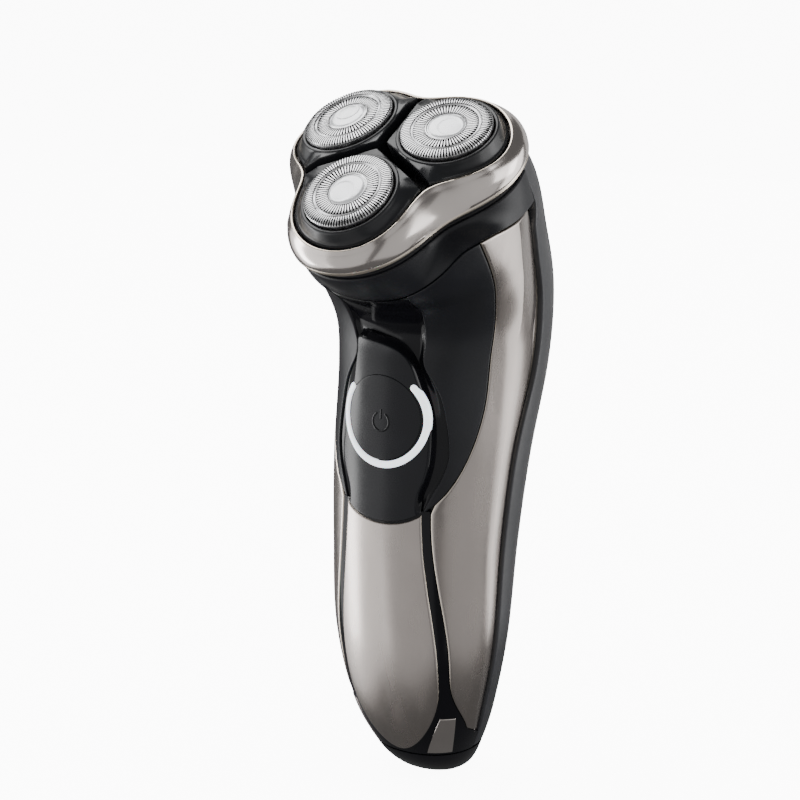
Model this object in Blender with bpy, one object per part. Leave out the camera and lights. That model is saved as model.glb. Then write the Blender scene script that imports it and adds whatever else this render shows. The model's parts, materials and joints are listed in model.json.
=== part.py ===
"""Three-head rotary shaver, built from the separate pieces a real one comes apart into.

Blender units are metres and +Z is up.  The shaver stands on its small flat foot, and the origin
is on that level, below the middle of the whole shaver.  -Y is the side with the power button.
The handle is a loft through STATIONS, whose y is counted from the foot's centre.  Everything in
the head is built in the head's own frame, which is tilted forward: its local Z is the shaving
direction and its local -Y runs down towards the button.  Dimensions are in millimetres and are
scaled to metres as each mesh is made.
"""

import math

import bmesh
import bpy
from mathutils import Matrix, Vector

MM = 0.001
GAP = 0.3                      # clearance between pieces that touch
FOOT_Y = 9.5                   # the foot's centre lies this far behind the middle of the shaver

# ---- handle: one row for each loft station ---------------------------------------------------
# centre y, centre z, tilt in degrees, half width, depth to the front, depth to the back
STATIONS = (
    (0.0, 0.0, 0.0, 6.0, 5.4, 5.4),
    (-1.6, 2.5, 0.0, 9.2, 9.0, 8.4),
    (-4.0, 8.0, 0.0, 12.6, 11.8, 11.3),
    (-6.6, 19.0, 0.0, 17.3, 14.1, 13.5),
    (-7.1, 37.0, 0.0, 21.1, 16.8, 14.9),
    (-5.4, 59.0, 0.0, 21.9, 19.6, 17.1),
    (-2.6, 79.0, 0.0, 22.9, 21.5, 18.7),
    (2.7, 99.0, 0.0, 23.6, 25.4, 20.7),
    (1.6, 113.0, 15.0, 24.4, 24.2, 25.1),
    (-4.5, 124.5, 26.0, 26.0, 22.5, 27.0),
    (-9.3, 133.9, 33.0, 27.0, 26.5, 27.5),
    (-16.3, 143.5, 33.0, 27.4, 27.0, 25.5),
)
SECTION_POWER = 2.15           # superellipse exponent of every section

SKIN = 1.2                     # thickness of the plates and panels on the front
WALL = 1.8                     # thickness of the moulded housings
HOUSING_OUT = -SKIN - 0.5      # the front housing lies just under the plates
SPLIT = 2.0                    # station where the bottom cap meets the housings
TOP = 10.0                     # station where the front pieces meet the collar
COLLAR_END_ANGLE = 107.0       # where the rear housing closes round the collar
COLLAR_END_LEAN = 4.2          # the same edge, seen from the head axis, is this much further round
NECK_LOBES = 0.55              # how far the neck takes on the head's three-lobed outline

PLATE_BOTTOM_Z = 9.0           # rounded end of the centre plate
PANEL_BOTTOM_Z = 67.0          # lowest point of the U-shaped panel
PANEL_ROUND_Z = 97.0           # height at which the panel reaches its full width
PANEL_ANGLE = 57.0             # half angle of the panel there
SIDE_BOTTOM_Z = 13.4           # lower tip of the side plates
PAD_BOTTOM_Z = 67.6
PAD_TOP_Z = 114.5
PAD_WIDEST_Z = 84.0
PAD_ROUND_Z = 118.0            # where the pad's outline would come to a point
PAD_ANGLE = 37.0               # half angle at its widest
PAD_RISE = 1.0                 # the control pad stands this far proud
BUTTON_Z = 91.0
BUTTON_R = 9.9
RING_IN_R = 10.2
RING_OUT_R = 12.0
RING_OPENING = 88.0            # open angle at the top of the light ring
BUTTON_TRAVEL = 0.8

# ---- head -------------------------------------------------------------------------------------
HEAD_CENTRE = (0.0, -24.2, 152.0)
HEAD_TILT = 33.0
CUTTER_RADIUS = 14.8           # distance of the three cutters from the head's centre
CUTTER_TILT = 6.2              # each cutter leans outward
CAP_R = 10.1
GROOVE = 2.4                   # width of the Y-shaped gap between the holders
JOINT_N = -11.0                # parting plane between head and handle
COLLAR_BOTTOM_N = -22.9
HINGE_V = 24.9                 # pivot of the opening head, behind the cutters
HINGE_N = -11.3
TOOTH_MODULE = 0.8
GEAR_TEETH = 24
PINION_TEETH = 13
GEAR_N = (-20.6, -18.2)        # lower and upper face of the gears
HEADS = (("front", 0.0), ("right", 120.0), ("left", 240.0))

COLOURS = {                    # base colour, roughness, metallic
    "metal": ((0.56, 0.50, 0.46), 0.12, 1.0),
    "gold_metal": ((0.60, 0.52, 0.44), 0.15, 1.0),
    "matte_black": ((0.020, 0.021, 0.025), 0.45, 0.0),
    "gloss_black": ((0.008, 0.008, 0.010), 0.06, 0.0),
    "rubber_black": ((0.016, 0.017, 0.020), 0.6, 0.0),
    "white_ring": ((0.85, 0.87, 0.90), 0.25, 0.0),
    "steel": ((0.62, 0.62, 0.63), 0.18, 1.0),
    "silver_disc": ((0.82, 0.83, 0.85), 0.3, 1.0),
    "nylon": ((0.75, 0.74, 0.70), 0.5, 0.0),
    "board_green": ((0.02, 0.16, 0.07), 0.5, 0.0),
    "battery_wrap": ((0.05, 0.12, 0.35), 0.35, 0.0),
    "brass": ((0.70, 0.52, 0.22), 0.25, 1.0),
}


# ---- scene and mesh helpers --------------------------------------------------------------------
def clear_scene():
    for obj in list(bpy.data.objects):
        bpy.data.objects.remove(obj, do_unlink=True)


def material(key):
    name = "mat_" + key
    found = bpy.data.materials.get(name)
    if found:
        return found
    colour, roughness, metallic = COLOURS[key]
    made = bpy.data.materials.new(name)
    made.use_nodes = True
    shader = made.node_tree.nodes["Principled BSDF"]
    shader.inputs["Base Color"].default_value = (*colour, 1.0)
    shader.inputs["Roughness"].default_value = roughness
    shader.inputs["Metallic"].default_value = metallic
    return made


def empty(name, parent=None, location=(0, 0, 0), rotation=(0, 0, 0)):
    made = bpy.data.objects.new(name, None)
    bpy.context.scene.collection.objects.link(made)
    made.parent = parent
    made.location = [c * MM for c in location]
    made.rotation_euler = [math.radians(a) for a in rotation]
    return made


def on_axis(name, parent, location, rotation=(0, 0, 0)):
    """Empty on a joint's axis, with a second one under it that brings the parent's frame back."""
    pivot = empty(name, parent, location, rotation)
    return empty(name + "_frame", pivot, [-c for c in location])


def finish(name, bm, key, parent=None, location=(0, 0, 0), smooth=35.0):
    """Turn a millimetre bmesh into a named object in metres."""
    bmesh.ops.scale(bm, vec=(MM, MM, MM), verts=bm.verts)
    bmesh.ops.recalc_face_normals(bm, faces=bm.faces)
    mesh = bpy.data.meshes.new(name)
    bm.to_mesh(mesh)
    bm.free()
    mesh.materials.append(material(key))
    mesh.shade_smooth()
    mesh.set_sharp_from_angle(angle=math.radians(smooth))
    made = bpy.data.objects.new(name, mesh)
    bpy.context.scene.collection.objects.link(made)
    made.parent = parent
    made.location = [c * MM for c in location]
    return made


def cutter(name, bm, parent=None):
    """A guide body that only serves a Boolean."""
    made = finish(name, bm, "nylon", parent)
    made.hide_render = True
    made.display_type = "WIRE"
    return made


def cut(target, tool, operation="DIFFERENCE"):
    modifier = target.modifiers.new(tool.name, "BOOLEAN")
    modifier.operation = operation
    modifier.object = tool
    modifier.solver = "EXACT"


def bridge_grids(outer, inner, closed=False):
    """Closed solid between two equal grids of points; closed joins the last column to the first."""
    bm = bmesh.new()
    top = [[bm.verts.new(p) for p in row] for row in outer]
    low = [[bm.verts.new(p) for p in row] for row in inner]
    rows, columns = len(top), len(top[0])
    span = columns if closed else columns - 1
    for i in range(rows - 1):
        for j in range(span):
            k = (j + 1) % columns
            bm.faces.new((top[i][j], top[i][k], top[i + 1][k], top[i + 1][j]))
            bm.faces.new((low[i][j], low[i + 1][j], low[i + 1][k], low[i][k]))
    for i in (0, rows - 1):
        for j in range(span):
            k = (j + 1) % columns
            bm.faces.new((top[i][j], low[i][j], low[i][k], top[i][k]))
    if not closed:
        for j in (0, columns - 1):
            for i in range(rows - 1):
                bm.faces.new((top[i][j], top[i + 1][j], low[i + 1][j], low[i][j]))
    return bm


def stack_rings(rings):
    """Closed solid from a list of rings, with a flat face on the first and the last."""
    bm = bmesh.new()
    rows = [[bm.verts.new(p) for p in ring] for ring in rings]
    count = len(rows[0])
    for low, high in zip(rows, rows[1:]):
        for j in range(count):
            k = (j + 1) % count
            bm.faces.new((low[j], low[k], high[k], high[j]))
    bm.faces.new(rows[0][::-1])
    bm.faces.new(rows[-1])
    return bm


def turned(profile, segments):
    """Closed body turned about Z from a closed loop of (radius, height); radius 0 lies on the axis."""
    bm = bmesh.new()
    rings = []
    for radius, height in profile:
        if radius == 0:
            rings.append([bm.verts.new((0, 0, height))])
        else:
            rings.append([bm.verts.new((radius * math.cos(math.tau * j / segments),
                                        radius * math.sin(math.tau * j / segments), height))
                          for j in range(segments)])
    for a, b in zip(rings, rings[1:] + rings[:1]):
        if len(a) == 1 and len(b) == 1:
            continue
        for j in range(segments):
            k = (j + 1) % segments
            loop = [a[j % len(a)], a[k % len(a)], b[k % len(b)], b[j % len(b)]]
            bm.faces.new(list(dict.fromkeys(loop)))
    return bm


def prism(outline, low, high):
    """Extrude a closed outline of (x, y) between two heights."""
    return stack_rings([[(x, y, low) for x, y in outline], [(x, y, high) for x, y in outline]])


def circle(radius, count, centre=(0.0, 0.0), start=0.0):
    return [(centre[0] + radius * math.cos(start + math.tau * j / count),
             centre[1] + radius * math.sin(start + math.tau * j / count)) for j in range(count)]


def box(size, centre=(0, 0, 0), bevel=0.0):
    bm = bmesh.new()
    bmesh.ops.create_cube(bm, size=1.0, matrix=Matrix.LocRotScale(centre, None, size))
    if bevel:
        bmesh.ops.bevel(bm, geom=bm.edges[:], offset=bevel, segments=1, affect="EDGES")
    return bm


# ---- the handle's outer surface -----------------------------------------------------------------
def station(u):
    """Catmull-Rom value of the station table at the fractional row u."""
    last = len(STATIONS) - 1
    i = min(max(int(math.floor(u)), 0), last - 1)
    t = u - i
    p1, p2 = STATIONS[i], STATIONS[i + 1]
    p0 = STATIONS[i - 1] if i > 0 else [2 * a - b for a, b in zip(p1, p2)]
    p3 = STATIONS[i + 2] if i + 2 <= last else [2 * b - a for a, b in zip(p1, p2)]
    return [0.5 * (2 * b + (c - a) * t + (2 * a - 5 * b + 4 * c - d) * t ** 2
                   + (3 * b - a - 3 * c + d) * t ** 3) for a, b, c, d in zip(p0, p1, p2, p3)]


def station_at(z):
    """Row whose centre is at height z."""
    low, high = 0.0, float(len(STATIONS) - 1)
    for _ in range(40):
        middle = (low + high) / 2
        low, high = (middle, high) if station(middle)[1] < z else (low, middle)
    return low


def surface(u, angle):
    """Point of the bare skin; angle 0 faces the button and +90 faces +X."""
    y0, z0, tilt, half, front, back = station(u)
    s, c = math.sin(math.radians(angle)), math.cos(math.radians(angle))
    power = 2 / SECTION_POWER
    across = math.copysign(abs(s) ** power, s) * half
    deep = math.copysign(abs(c) ** power, c) * (front if c > 0 else back)
    lean = math.radians(tilt)
    plain = Vector((across, y0 - deep * math.cos(lean), z0 - deep * math.sin(lean)))
    near = 1.0 - smooth_step(82.0, 102.0, abs((angle + 180) % 360 - 180))
    share = NECK_LOBES * near * smooth_step(TOP - 1.0, TOP, u) * (1.0 if u <= TOP else 0.0)
    return plain.lerp(neck_point(angle), share) if share else plain


def neck_point(angle):
    """Point on the collar's three-lobed lower edge, in the handle's frame."""
    phi = math.radians(angle - 90)
    r, lean = trim_low_r(phi) - 2.9, math.radians(HEAD_TILT)
    x, v, n = r * math.cos(phi), r * math.sin(phi), COLLAR_BOTTOM_N - 0.4
    return Vector((x, HEAD_CENTRE[1] + v * math.cos(lean) - n * math.sin(lean),
                   HEAD_CENTRE[2] + v * math.sin(lean) + n * math.cos(lean)))


def neck_outline(phi):
    """Radius of the handle's top edge round the head's axis at the angle phi."""
    angle = math.degrees(phi) + 90
    point = surface(TOP, angle) - Vector(HEAD_CENTRE)
    lean = math.radians(HEAD_TILT)
    return math.hypot(point.x, point.y * math.cos(lean) + point.z * math.sin(lean))


def housing_radius(phi):
    """Radius of the rear housing's upper edge round the head's axis at the angle phi."""
    y0, z0, _, half, _, back = STATIONS[-1]
    lean = math.radians(HEAD_TILT)
    middle = ((y0 - HEAD_CENTRE[1]) * math.cos(lean) + (z0 - HEAD_CENTRE[2]) * math.sin(lean))
    low, high = 0.0, 40.0
    for _ in range(30):
        r = (low + high) / 2
        x, v = r * math.cos(phi) / half, (r * math.sin(phi) - middle) / back
        inside = abs(x) ** SECTION_POWER + abs(v) ** SECTION_POWER < 1
        low, high = (r, high) if inside else (low, r)
    return low


def skin(u, angle, offset):
    """Point of the skin moved along its normal."""
    step_u, step_a = 0.02, 0.5
    top = TOP if u <= TOP else len(STATIONS) - 1
    along = surface(min(u + step_u, top), angle) - surface(max(u - step_u, 0), angle)
    around = surface(u, angle + step_a) - surface(u, angle - step_a)
    return surface(u, angle) + around.cross(along).normalized() * offset


def smooth_step(low, high, value):
    t = min(max((value - low) / (high - low), 0.0), 1.0)
    return t * t * (3 - 2 * t)


def parting_angle(u):
    """Angle of the line between the side plates and the rear housing."""
    return 86.0 + 15.0 * smooth_step(75.0, 140.0, station(u)[1])


def plate_angle(u):
    """Half angle of the centre plate: a racket handle, widest low down, with a round end."""
    z = station(u)[1]
    body = 24.5 + 15.5 * math.sin(math.pi / 2 * smooth_step(78.0, 24.0, z)) ** 1.2
    end = min(max((z - PLATE_BOTTOM_Z) / 17.0, 0.0), 1.0)
    return body * math.sqrt(1 - (1 - end) ** 2) ** 1.15


def channel_angle(u):
    """Outer edge of the dark channel, where a side plate begins."""
    z = station(u)[1]
    flare = smooth_step(34.0, SIDE_BOTTOM_Z, z) ** 2
    return 30.0 + 16.0 * smooth_step(72.0, 26.0, z) + 24.0 * flare


def panel_angle(u):
    z = station(u)[1]
    reach = min(max((PANEL_ROUND_Z - z) / (PANEL_ROUND_Z - PANEL_BOTTOM_Z), 0.0), 1.0)
    return PANEL_ANGLE * math.sqrt(1 - reach ** 2) + 8.0 * smooth_step(105.0, 135.0, z)


def pad_angle(u):
    """Half angle of the raised pad: a shield that narrows from below the ring into the plate."""
    z = station(u)[1]
    if z > PAD_WIDEST_Z:
        rise = (z - PAD_WIDEST_Z) / (PAD_ROUND_Z - PAD_WIDEST_Z)
        return PAD_ANGLE * max(1 - rise ** 2, 0.0) ** 0.75
    low = 25.0 + (PAD_ANGLE - 25.0) * smooth_step(70.0, PAD_WIDEST_Z, z)
    return min(low, panel_angle(u) - 0.3)


def sheet(u_rows, left, right, columns, outside, inside):
    """Thick piece of the skin between two angle functions of u."""
    outer, inner = [], []
    for u in u_rows:
        angles = [left(u) + (right(u) - left(u)) * j / columns for j in range(columns + 1)]
        outer.append([skin(u, a, outside) for a in angles])
        inner.append([skin(u, a, inside) for a in angles])
    return bridge_grids(outer, inner)


def rows(low, high, count):
    return [low + (high - low) * i / count for i in range(count + 1)]


def rounded_rows(low, high, count):
    """Rows that crowd together at the low end, where an outline closes."""
    return [low + (high - low) * (1 - math.cos(math.pi / 2 * i / count)) for i in range(count + 1)]


# ---- handle pieces --------------------------------------------------------------------------------
def button_tool(name, outline):
    """Prism along Y through the front of the handle at the button."""
    bm = prism(outline, -5.0, 30.0)
    bmesh.ops.transform(bm, matrix=Matrix.Translation((0, 0, BUTTON_Z))
                        @ Matrix.Rotation(math.radians(90), 4, "X"), verts=bm.verts)
    return cutter(name, bm)


def ring_outline(inner, outer, opening, count=28):
    """C shape, open at the top, as one closed outline in the prism's (x, y) plane."""
    start = math.radians(90 + opening / 2)
    sweep = math.radians(360 - opening)
    there = [start + sweep * i / count for i in range(count + 1)]
    return ([(outer * math.cos(a), outer * math.sin(a)) for a in there]
            + [(inner * math.cos(a), inner * math.sin(a)) for a in reversed(there)])


def housings(head):
    hole = button_tool("guide_button_well", circle(BUTTON_R + 0.4, 24))
    front = finish("front_housing", sheet(rows(SPLIT + 0.06, TOP - 0.45, 16), lambda u: -parting_angle(u) + 1,
                                          lambda u: parting_angle(u) - 1, 12,
                                          HOUSING_OUT, HOUSING_OUT - WALL), "gloss_black")
    cut(front, hole)

    def edge(u):
        return parting_angle(u) + 0.8 + (COLLAR_END_ANGLE - 101.4) * smooth_step(9.6, 10.0, u)
    rear = finish("rear_housing", sheet(rows(SPLIT + 0.06, 11.0, 17), edge, lambda u: 360 - edge(u), 12,
                                        0.0, -WALL), "rubber_black")
    notch = box((15.0, 6.0, 4.0), (0, HINGE_V + 1.0, HINGE_N - 0.1))
    cut(rear, cutter("guide_hinge_notch", notch, head))


def bottom_cap():
    outer = [[skin(u, 360 * j / 28, 0.0) for j in range(28)] for u in (0.0, 0.3, 0.7, 1.2, 1.6, SPLIT)]
    inner = [[skin(u, 360 * j / 28, -WALL) for j in range(28)] for u in (0.3, 0.7, 1.2, 1.6, SPLIT)]
    for ring in inner:
        for point in ring:
            point.z = max(point.z, WALL)
    cap = finish("bottom_cap", stack_rings(outer + inner[::-1]), "gloss_black")
    cut(cap, cutter("guide_inlet", prism(slot_outline(7.8, 4.4), -1.0, 5.0)))


def slot_outline(length, width, count=8):
    """Round-ended slot along X."""
    radius, half = width / 2, (length - width) / 2
    ends = []
    for side in (1, -1):
        for i in range(count + 1):
            a = math.pi * (i / count - 0.5)
            ends.append((side * (half + radius * math.cos(a)), side * radius * math.sin(a)))
    return ends


def front_plates():
    end = station_at(PLATE_BOTTOM_Z + 0.1)
    spans = rounded_rows(end, station_at(PANEL_BOTTOM_Z - 1.2), 14)
    finish("centre_plate", sheet(spans, lambda u: -plate_angle(u), plate_angle, 8, 0.0, -SKIN),
           "metal")

    def inner_edge(u):
        return max(channel_angle(u) if station(u)[1] < 74.0 else 0.0, panel_angle(u) + 0.9)
    spans = rows(station_at(SIDE_BOTTOM_Z), TOP, 24)
    finish("side_plate_right", sheet(spans, inner_edge, lambda u: parting_angle(u) - 0.2, 5,
                                     0.0, -SKIN), "metal")
    finish("side_plate_left", sheet(spans, lambda u: -parting_angle(u) + 0.2,
                                    lambda u: -inner_edge(u), 5, 0.0, -SKIN), "metal")


def control_group():
    start = station_at(PANEL_BOTTOM_Z + 0.1)
    panel = finish("top_panel", sheet(rounded_rows(start, TOP, 16), lambda u: -panel_angle(u),
                                      panel_angle, 12, 0.0, -SKIN), "matte_black")
    pad_rows = rounded_rows(station_at(PAD_BOTTOM_Z), station_at(PAD_TOP_Z), 14)

    def room(u):
        return pad_angle(min(max(u, pad_rows[0]), pad_rows[-1])) + 1.0
    recess = sheet([pad_rows[0] - 0.1] + pad_rows + [pad_rows[-1] + 0.02], lambda u: -room(u), room,
                   10, 3.0, -3.0)
    cut(panel, cutter("guide_pad", recess))
    pad = finish("control_pad", sheet(pad_rows, lambda u: -pad_angle(u), pad_angle, 10,
                                      PAD_RISE, -SKIN), "matte_black")
    cut(pad, button_tool("guide_button_hole", circle(BUTTON_R + GAP, 32)))
    cut(pad, button_tool("guide_ring_slot", ring_outline(RING_IN_R - 0.5, RING_OUT_R + GAP,
                                                         RING_OPENING - 3)))

    def blank(name, key, outside, inside, parent=None):
        span = rows(station_at(BUTTON_Z - 15), station_at(BUTTON_Z + 15), 10)
        return finish(name, sheet(span, lambda u: -38.0, lambda u: 38.0, 10, outside, inside), key,
                      parent)
    travel = on_axis("button_axis", None, (0, 0, BUTTON_Z))
    button = blank("power_button", "matte_black", PAD_RISE, -SKIN, travel)
    cut(button, button_tool("guide_button", circle(BUTTON_R, 32)), "INTERSECT")
    stem = prism(circle(2.4, 16), 18.4, 22.6)
    bmesh.ops.transform(stem, matrix=Matrix.Translation((0, 0, BUTTON_Z))
                        @ Matrix.Rotation(math.radians(90), 4, "X"), verts=stem.verts)
    cut(button, cutter("guide_button_stem", stem), "UNION")
    ring = blank("light_ring", "white_ring", PAD_RISE + 0.2, -SKIN)
    cut(ring, button_tool("guide_ring", ring_outline(RING_IN_R, RING_OUT_R, RING_OPENING)),
        "INTERSECT")


def handle_insides():
    finish("circuit_board", box((19, 1.4, 46), (0, -13.0, 84), 0.0), "board_green")
    finish("tact_switch", box((6, 3.2, 6), (0, -16.3 + 0.3, BUTTON_Z), 0.5), "nylon")
    battery = turned([(0, 0), (6.6, 0), (7.0, 0.4), (7.0, 48.6), (6.6, 49), (2.6, 49), (2.6, 50),
                      (0, 50)], 20)
    finish("battery", battery, "battery_wrap", location=(0, -4.6, 26))
    finish("charge_inlet", prism(slot_outline(7.2, 3.8), 1.2, 16.0), "gloss_black")
    well = cutter("guide_inlet_well", prism(slot_outline(5.8, 2.8), 0.0, 8.0))
    cut(bpy.data.objects["charge_inlet"], well)
    for side, x in (("left", -1.6), ("right", 1.6)):
        finish(f"inlet_pin_{side}", turned([(0, 2.8), (0.3, 2.8), (0.5, 3.2), (0.5, 7.7),
                                            (0, 7.7)], 8), "brass", location=(x, 0, 0))


# ---- head outlines, in the head's frame --------------------------------------------------------------
def lobed(mean, wave, second, phi):
    """Three-lobed outline radius; lobes at the three cutters."""
    a = 3 * (phi + math.pi / 2)
    return mean + wave * math.cos(a) + second * math.cos(2 * a)


def trim_low_r(phi):
    return lobed(26.9, 3.9, -0.4, phi)


def trim_top_r(phi):
    return lobed(24.2, 4.6, -0.7, phi)


def trim_top_n(phi):
    return lobed(-4.0, -1.4, 0.0, phi)


def lobed_ring(radius, height, count=48, first=-math.pi, last=math.pi, whole=True):
    """Ring of points; radius and height may be numbers or functions of the angle."""
    points = []
    for j in range(count if whole else count + 1):
        phi = first + (last - first) * j / count
        r = radius(phi) if callable(radius) else radius
        n = height(phi) if callable(height) else height
        points.append((r * math.cos(phi), r * math.sin(phi), n))
    return points


def inset(radius, amount):
    return lambda phi: radius(phi) - amount


def collar_and_chamber(head):
    reach = math.radians(COLLAR_END_ANGLE + COLLAR_END_LEAN)
    span = {"first": -math.pi / 2 - reach, "last": -math.pi / 2 + reach, "whole": False, "count": 34}
    upper = inset(trim_low_r, 2.4)
    profile = ((upper, JOINT_N - GAP), (upper, -14.0), (neck_outline, COLLAR_BOTTOM_N),
               (inset(trim_low_r, 7.6), COLLAR_BOTTOM_N), (inset(trim_low_r, 7.6), COLLAR_BOTTOM_N + 1.5),
               (inset(trim_low_r, 4.2), COLLAR_BOTTOM_N + 1.5), (inset(upper, 1.6), JOINT_N - GAP))
    rings = [lobed_ring(radius, n, **span) for radius, n in profile]
    finish("collar", stack_rings([list(ring) for ring in zip(*rings)]), "matte_black", head)

    wall = inset(trim_low_r, 4.4)
    cup = [lobed_ring(inset(wall, 1.3), -15.4), lobed_ring(inset(wall, 1.3), JOINT_N - GAP),
           lobed_ring(wall, JOINT_N - GAP), lobed_ring(wall, -16.6)]
    chamber = finish("hair_chamber", stack_rings(cup), "matte_black", head)
    for name, turn in HEADS:
        hole = prism(circle(3.0, 16, (0, -CUTTER_RADIUS)), -18.0, -14.0)
        bmesh.ops.rotate(hole, cent=(0, 0, 0), matrix=Matrix.Rotation(math.radians(turn), 3, "Z"),
                         verts=hole.verts)
        cut(chamber, cutter("guide_spindle_hole_" + name, hole, head))

    plate = finish("gear_plate", prism([(x, y) for x, y, _ in
                                        lobed_ring(inset(trim_low_r, 8.0), 0, 36)],
                                       COLLAR_BOTTOM_N, COLLAR_BOTTOM_N + 1.5), "nylon", head)
    cut(plate, cutter("guide_shaft_hole", prism(circle(2.2, 16), -25, -20), head))


# ---- drive train ---------------------------------------------------------------------------------------
def gear_outline(teeth, module, clearance=0.1, phase=0.0):
    """Trapezoid teeth on the pitch circle: four points to a tooth."""
    pitch_r = teeth * module / 2
    root, tip = pitch_r - 1.25 * module, pitch_r + 0.9 * module
    points = []
    for i in range(teeth):
        middle = phase + math.tau * i / teeth
        half_root = math.tau / teeth * 0.34
        half_tip = math.tau / teeth * 0.13
        thin = clearance / pitch_r
        for r, a in ((root, -half_root), (tip, -half_tip + thin / 2), (tip, half_tip - thin / 2),
                     (root, half_root)):
            points.append((r * math.cos(middle + a), r * math.sin(middle + a)))
    return points


def mesh_phase(turn):
    """Turn of a gear that puts a tooth in the pinion gap nearest to the line of centres."""
    pitch = 360.0 / PINION_TEETH
    miss = (-turn + pitch / 2) % pitch - pitch / 2
    return math.radians(90.0 - miss * PINION_TEETH / GEAR_TEETH)


def drive_train(head):
    low, high = GEAR_N
    for name, turn in HEADS:
        holder = empty("drive_datum_" + name, head, rotation=(0, 0, turn))
        outline = gear_outline(GEAR_TEETH, TOOTH_MODULE, phase=mesh_phase(turn))
        wheel = finish("drive_gear_" + name, prism(outline, low, high), "nylon", holder,
                       (0, -CUTTER_RADIUS, 0))
        bore = cutter("guide_gear_bore_" + name, prism(circle(1.6, 12), low - 2, high + 2), holder)
        bore.location = (0, -CUTTER_RADIUS * MM, 0)
        cut(wheel, bore)
        spindle = turned([(0, -21.1), (1.3, -21.1), (1.3, -17.2), (2.2, -17.2), (2.2, -11.6),
                          (1.5, -11.0), (1.5, -5.4), (1.2, -5.0), (0, -5.0)], 12)
        finish("drive_spindle_" + name, spindle, "nylon", holder, (0, -CUTTER_RADIUS, 0))
        spring(name, holder)
    half_tooth = math.pi / PINION_TEETH
    outline = gear_outline(PINION_TEETH, TOOTH_MODULE, phase=-math.pi / 2 + half_tooth)
    pinion = finish("motor_pinion", prism(outline, low - 0.4, high + 0.4), "brass", head)
    cut(pinion, cutter("guide_pinion_bore", prism(circle(1.0, 12), low - 2, high + 2), head))
    motor = turned([(0, -48), (3.0, -48), (3.0, -46.5), (9.6, -46.5), (10.0, -46), (10.0, -24.0),
                    (9.6, -23.4), (0.7, -23.4), (0.7, -17.4), (0, -17.4)], 24)
    finish("motor", motor, "steel", head)


def spring(name, holder, turns=3, steps=8, sides=4):
    """Coil that pushes the spindle up into its cutter."""
    coil_r, wire_r, low, high = 2.1, 0.25, -10.9, -8.0
    rings = []
    for i in range(turns * steps + 1):
        a = math.tau * i / steps
        centre = Vector((coil_r * math.cos(a), coil_r * math.sin(a),
                         low + (high - low) * i / (turns * steps)))
        out = Vector((math.cos(a), math.sin(a), 0))
        rings.append([centre + out * wire_r * math.cos(math.tau * k / sides)
                      + Vector((0, 0, 1)) * wire_r * math.sin(math.tau * k / sides)
                      for k in range(sides)])
    finish("spindle_spring_" + name, stack_rings(rings), "steel", holder, (0, -CUTTER_RADIUS, 0))


# ---- the opening head ------------------------------------------------------------------------------------
def trim_ring(lid, head):
    count = 48
    wall = 1.3
    low_n = JOINT_N + GAP

    def belly_r(phi):
        return 0.42 * trim_top_r(phi) + 0.58 * trim_low_r(phi) + 0.35

    def belly_n(phi):
        return 0.5 * (trim_top_n(phi) - 9.8)
    outer = [lobed_ring(inset(trim_low_r, 0.7), low_n, count), lobed_ring(trim_low_r, -9.9, count),
             lobed_ring(belly_r, belly_n, count), lobed_ring(trim_top_r, trim_top_n, count)]
    inner = [lobed_ring(inset(trim_low_r, 0.7 + wall), low_n, count),
             lobed_ring(inset(trim_low_r, wall), -9.9, count),
             lobed_ring(inset(belly_r, wall), belly_n, count),
             lobed_ring(inset(trim_top_r, wall * 0.7), trim_top_n, count)]
    ring = finish("trim_ring", bridge_grids(outer, inner, closed=True), "metal", lid)
    lug = [(21.7, -10.6), (21.7, -8.9), (23.4, -9.1), (24.9, -9.5)]
    lug += [(HINGE_V + 1.8 * math.cos(math.radians(a)), HINGE_N + 1.8 * math.sin(math.radians(a)))
            for a in (60, 30, 0, -30, -60, -90, -120, -150, 180)]
    body = across_x(prism(lug, -3.0, 3.0))
    cut(ring, cutter("guide_hinge_lug", body, lid), "UNION")
    bore = across_x(prism(circle(1.15, 12, (HINGE_V, HINGE_N)), -6, 6))
    cut(ring, cutter("guide_hinge_bore", bore, lid))
    finish("hinge_pin", across_x(prism(circle(0.95, 12, (HINGE_V, HINGE_N)), -6.9, 6.9)), "steel", head)


def across_x(bm):
    """Turn a prism so that its outline's (x, y) become the head's uphill and normal directions."""
    turn = Matrix(((0, 0, 1, 0), (1, 0, 0, 0), (0, 1, 0, 0), (0, 0, 0, 1)))
    bmesh.ops.transform(bm, matrix=turn, verts=bm.verts)
    return bm


def hinge_bridge(head):
    """Ledge that closes the back of the neck and carries the hinge pin in two knuckles."""
    low, high = JOINT_N - 2.3, JOINT_N - 0.7
    turns = [math.radians(52 + 76 * i / 16) for i in range(17)]
    outer = [housing_radius(p) - WALL - 0.5 for p in turns]
    inner = [min(trim_low_r(p) - 4.0, r - 1.0) for p, r in zip(turns, outer)]
    outline = [(r * math.cos(p), r * math.sin(p)) for p, r in zip(turns, outer)]
    outline += [(r * math.cos(p), r * math.sin(p)) for p, r in list(zip(turns, inner))[::-1]]
    ledge = finish("hinge_bridge", prism(outline, low, high), "matte_black", head)
    for side in (-1, 1):
        knuckle = [(22.4, low + 0.1), (22.4, high), (23.6, high + 0.4)]
        knuckle += [(HINGE_V + 1.7 * math.cos(math.radians(a)), HINGE_N + 1.7 * math.sin(math.radians(a)))
                    for a in (120, 90, 60, 30, 0, -30, -60, -90)]
        ends = sorted((side * 3.4, side * 6.6))
        cut(ledge, cutter(f"guide_knuckle_{side + 1}", across_x(prism(knuckle, *ends)), head), "UNION")
    bore = prism(circle(1.1, 12, (HINGE_V, HINGE_N)), -8, 8)
    cut(ledge, cutter("guide_bridge_bore", across_x(bore), head))
    slot = box((6.8, 8.0, 6.0), (0, HINGE_V, HINGE_N))
    cut(ledge, cutter("guide_bridge_slot", slot, head))


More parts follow.
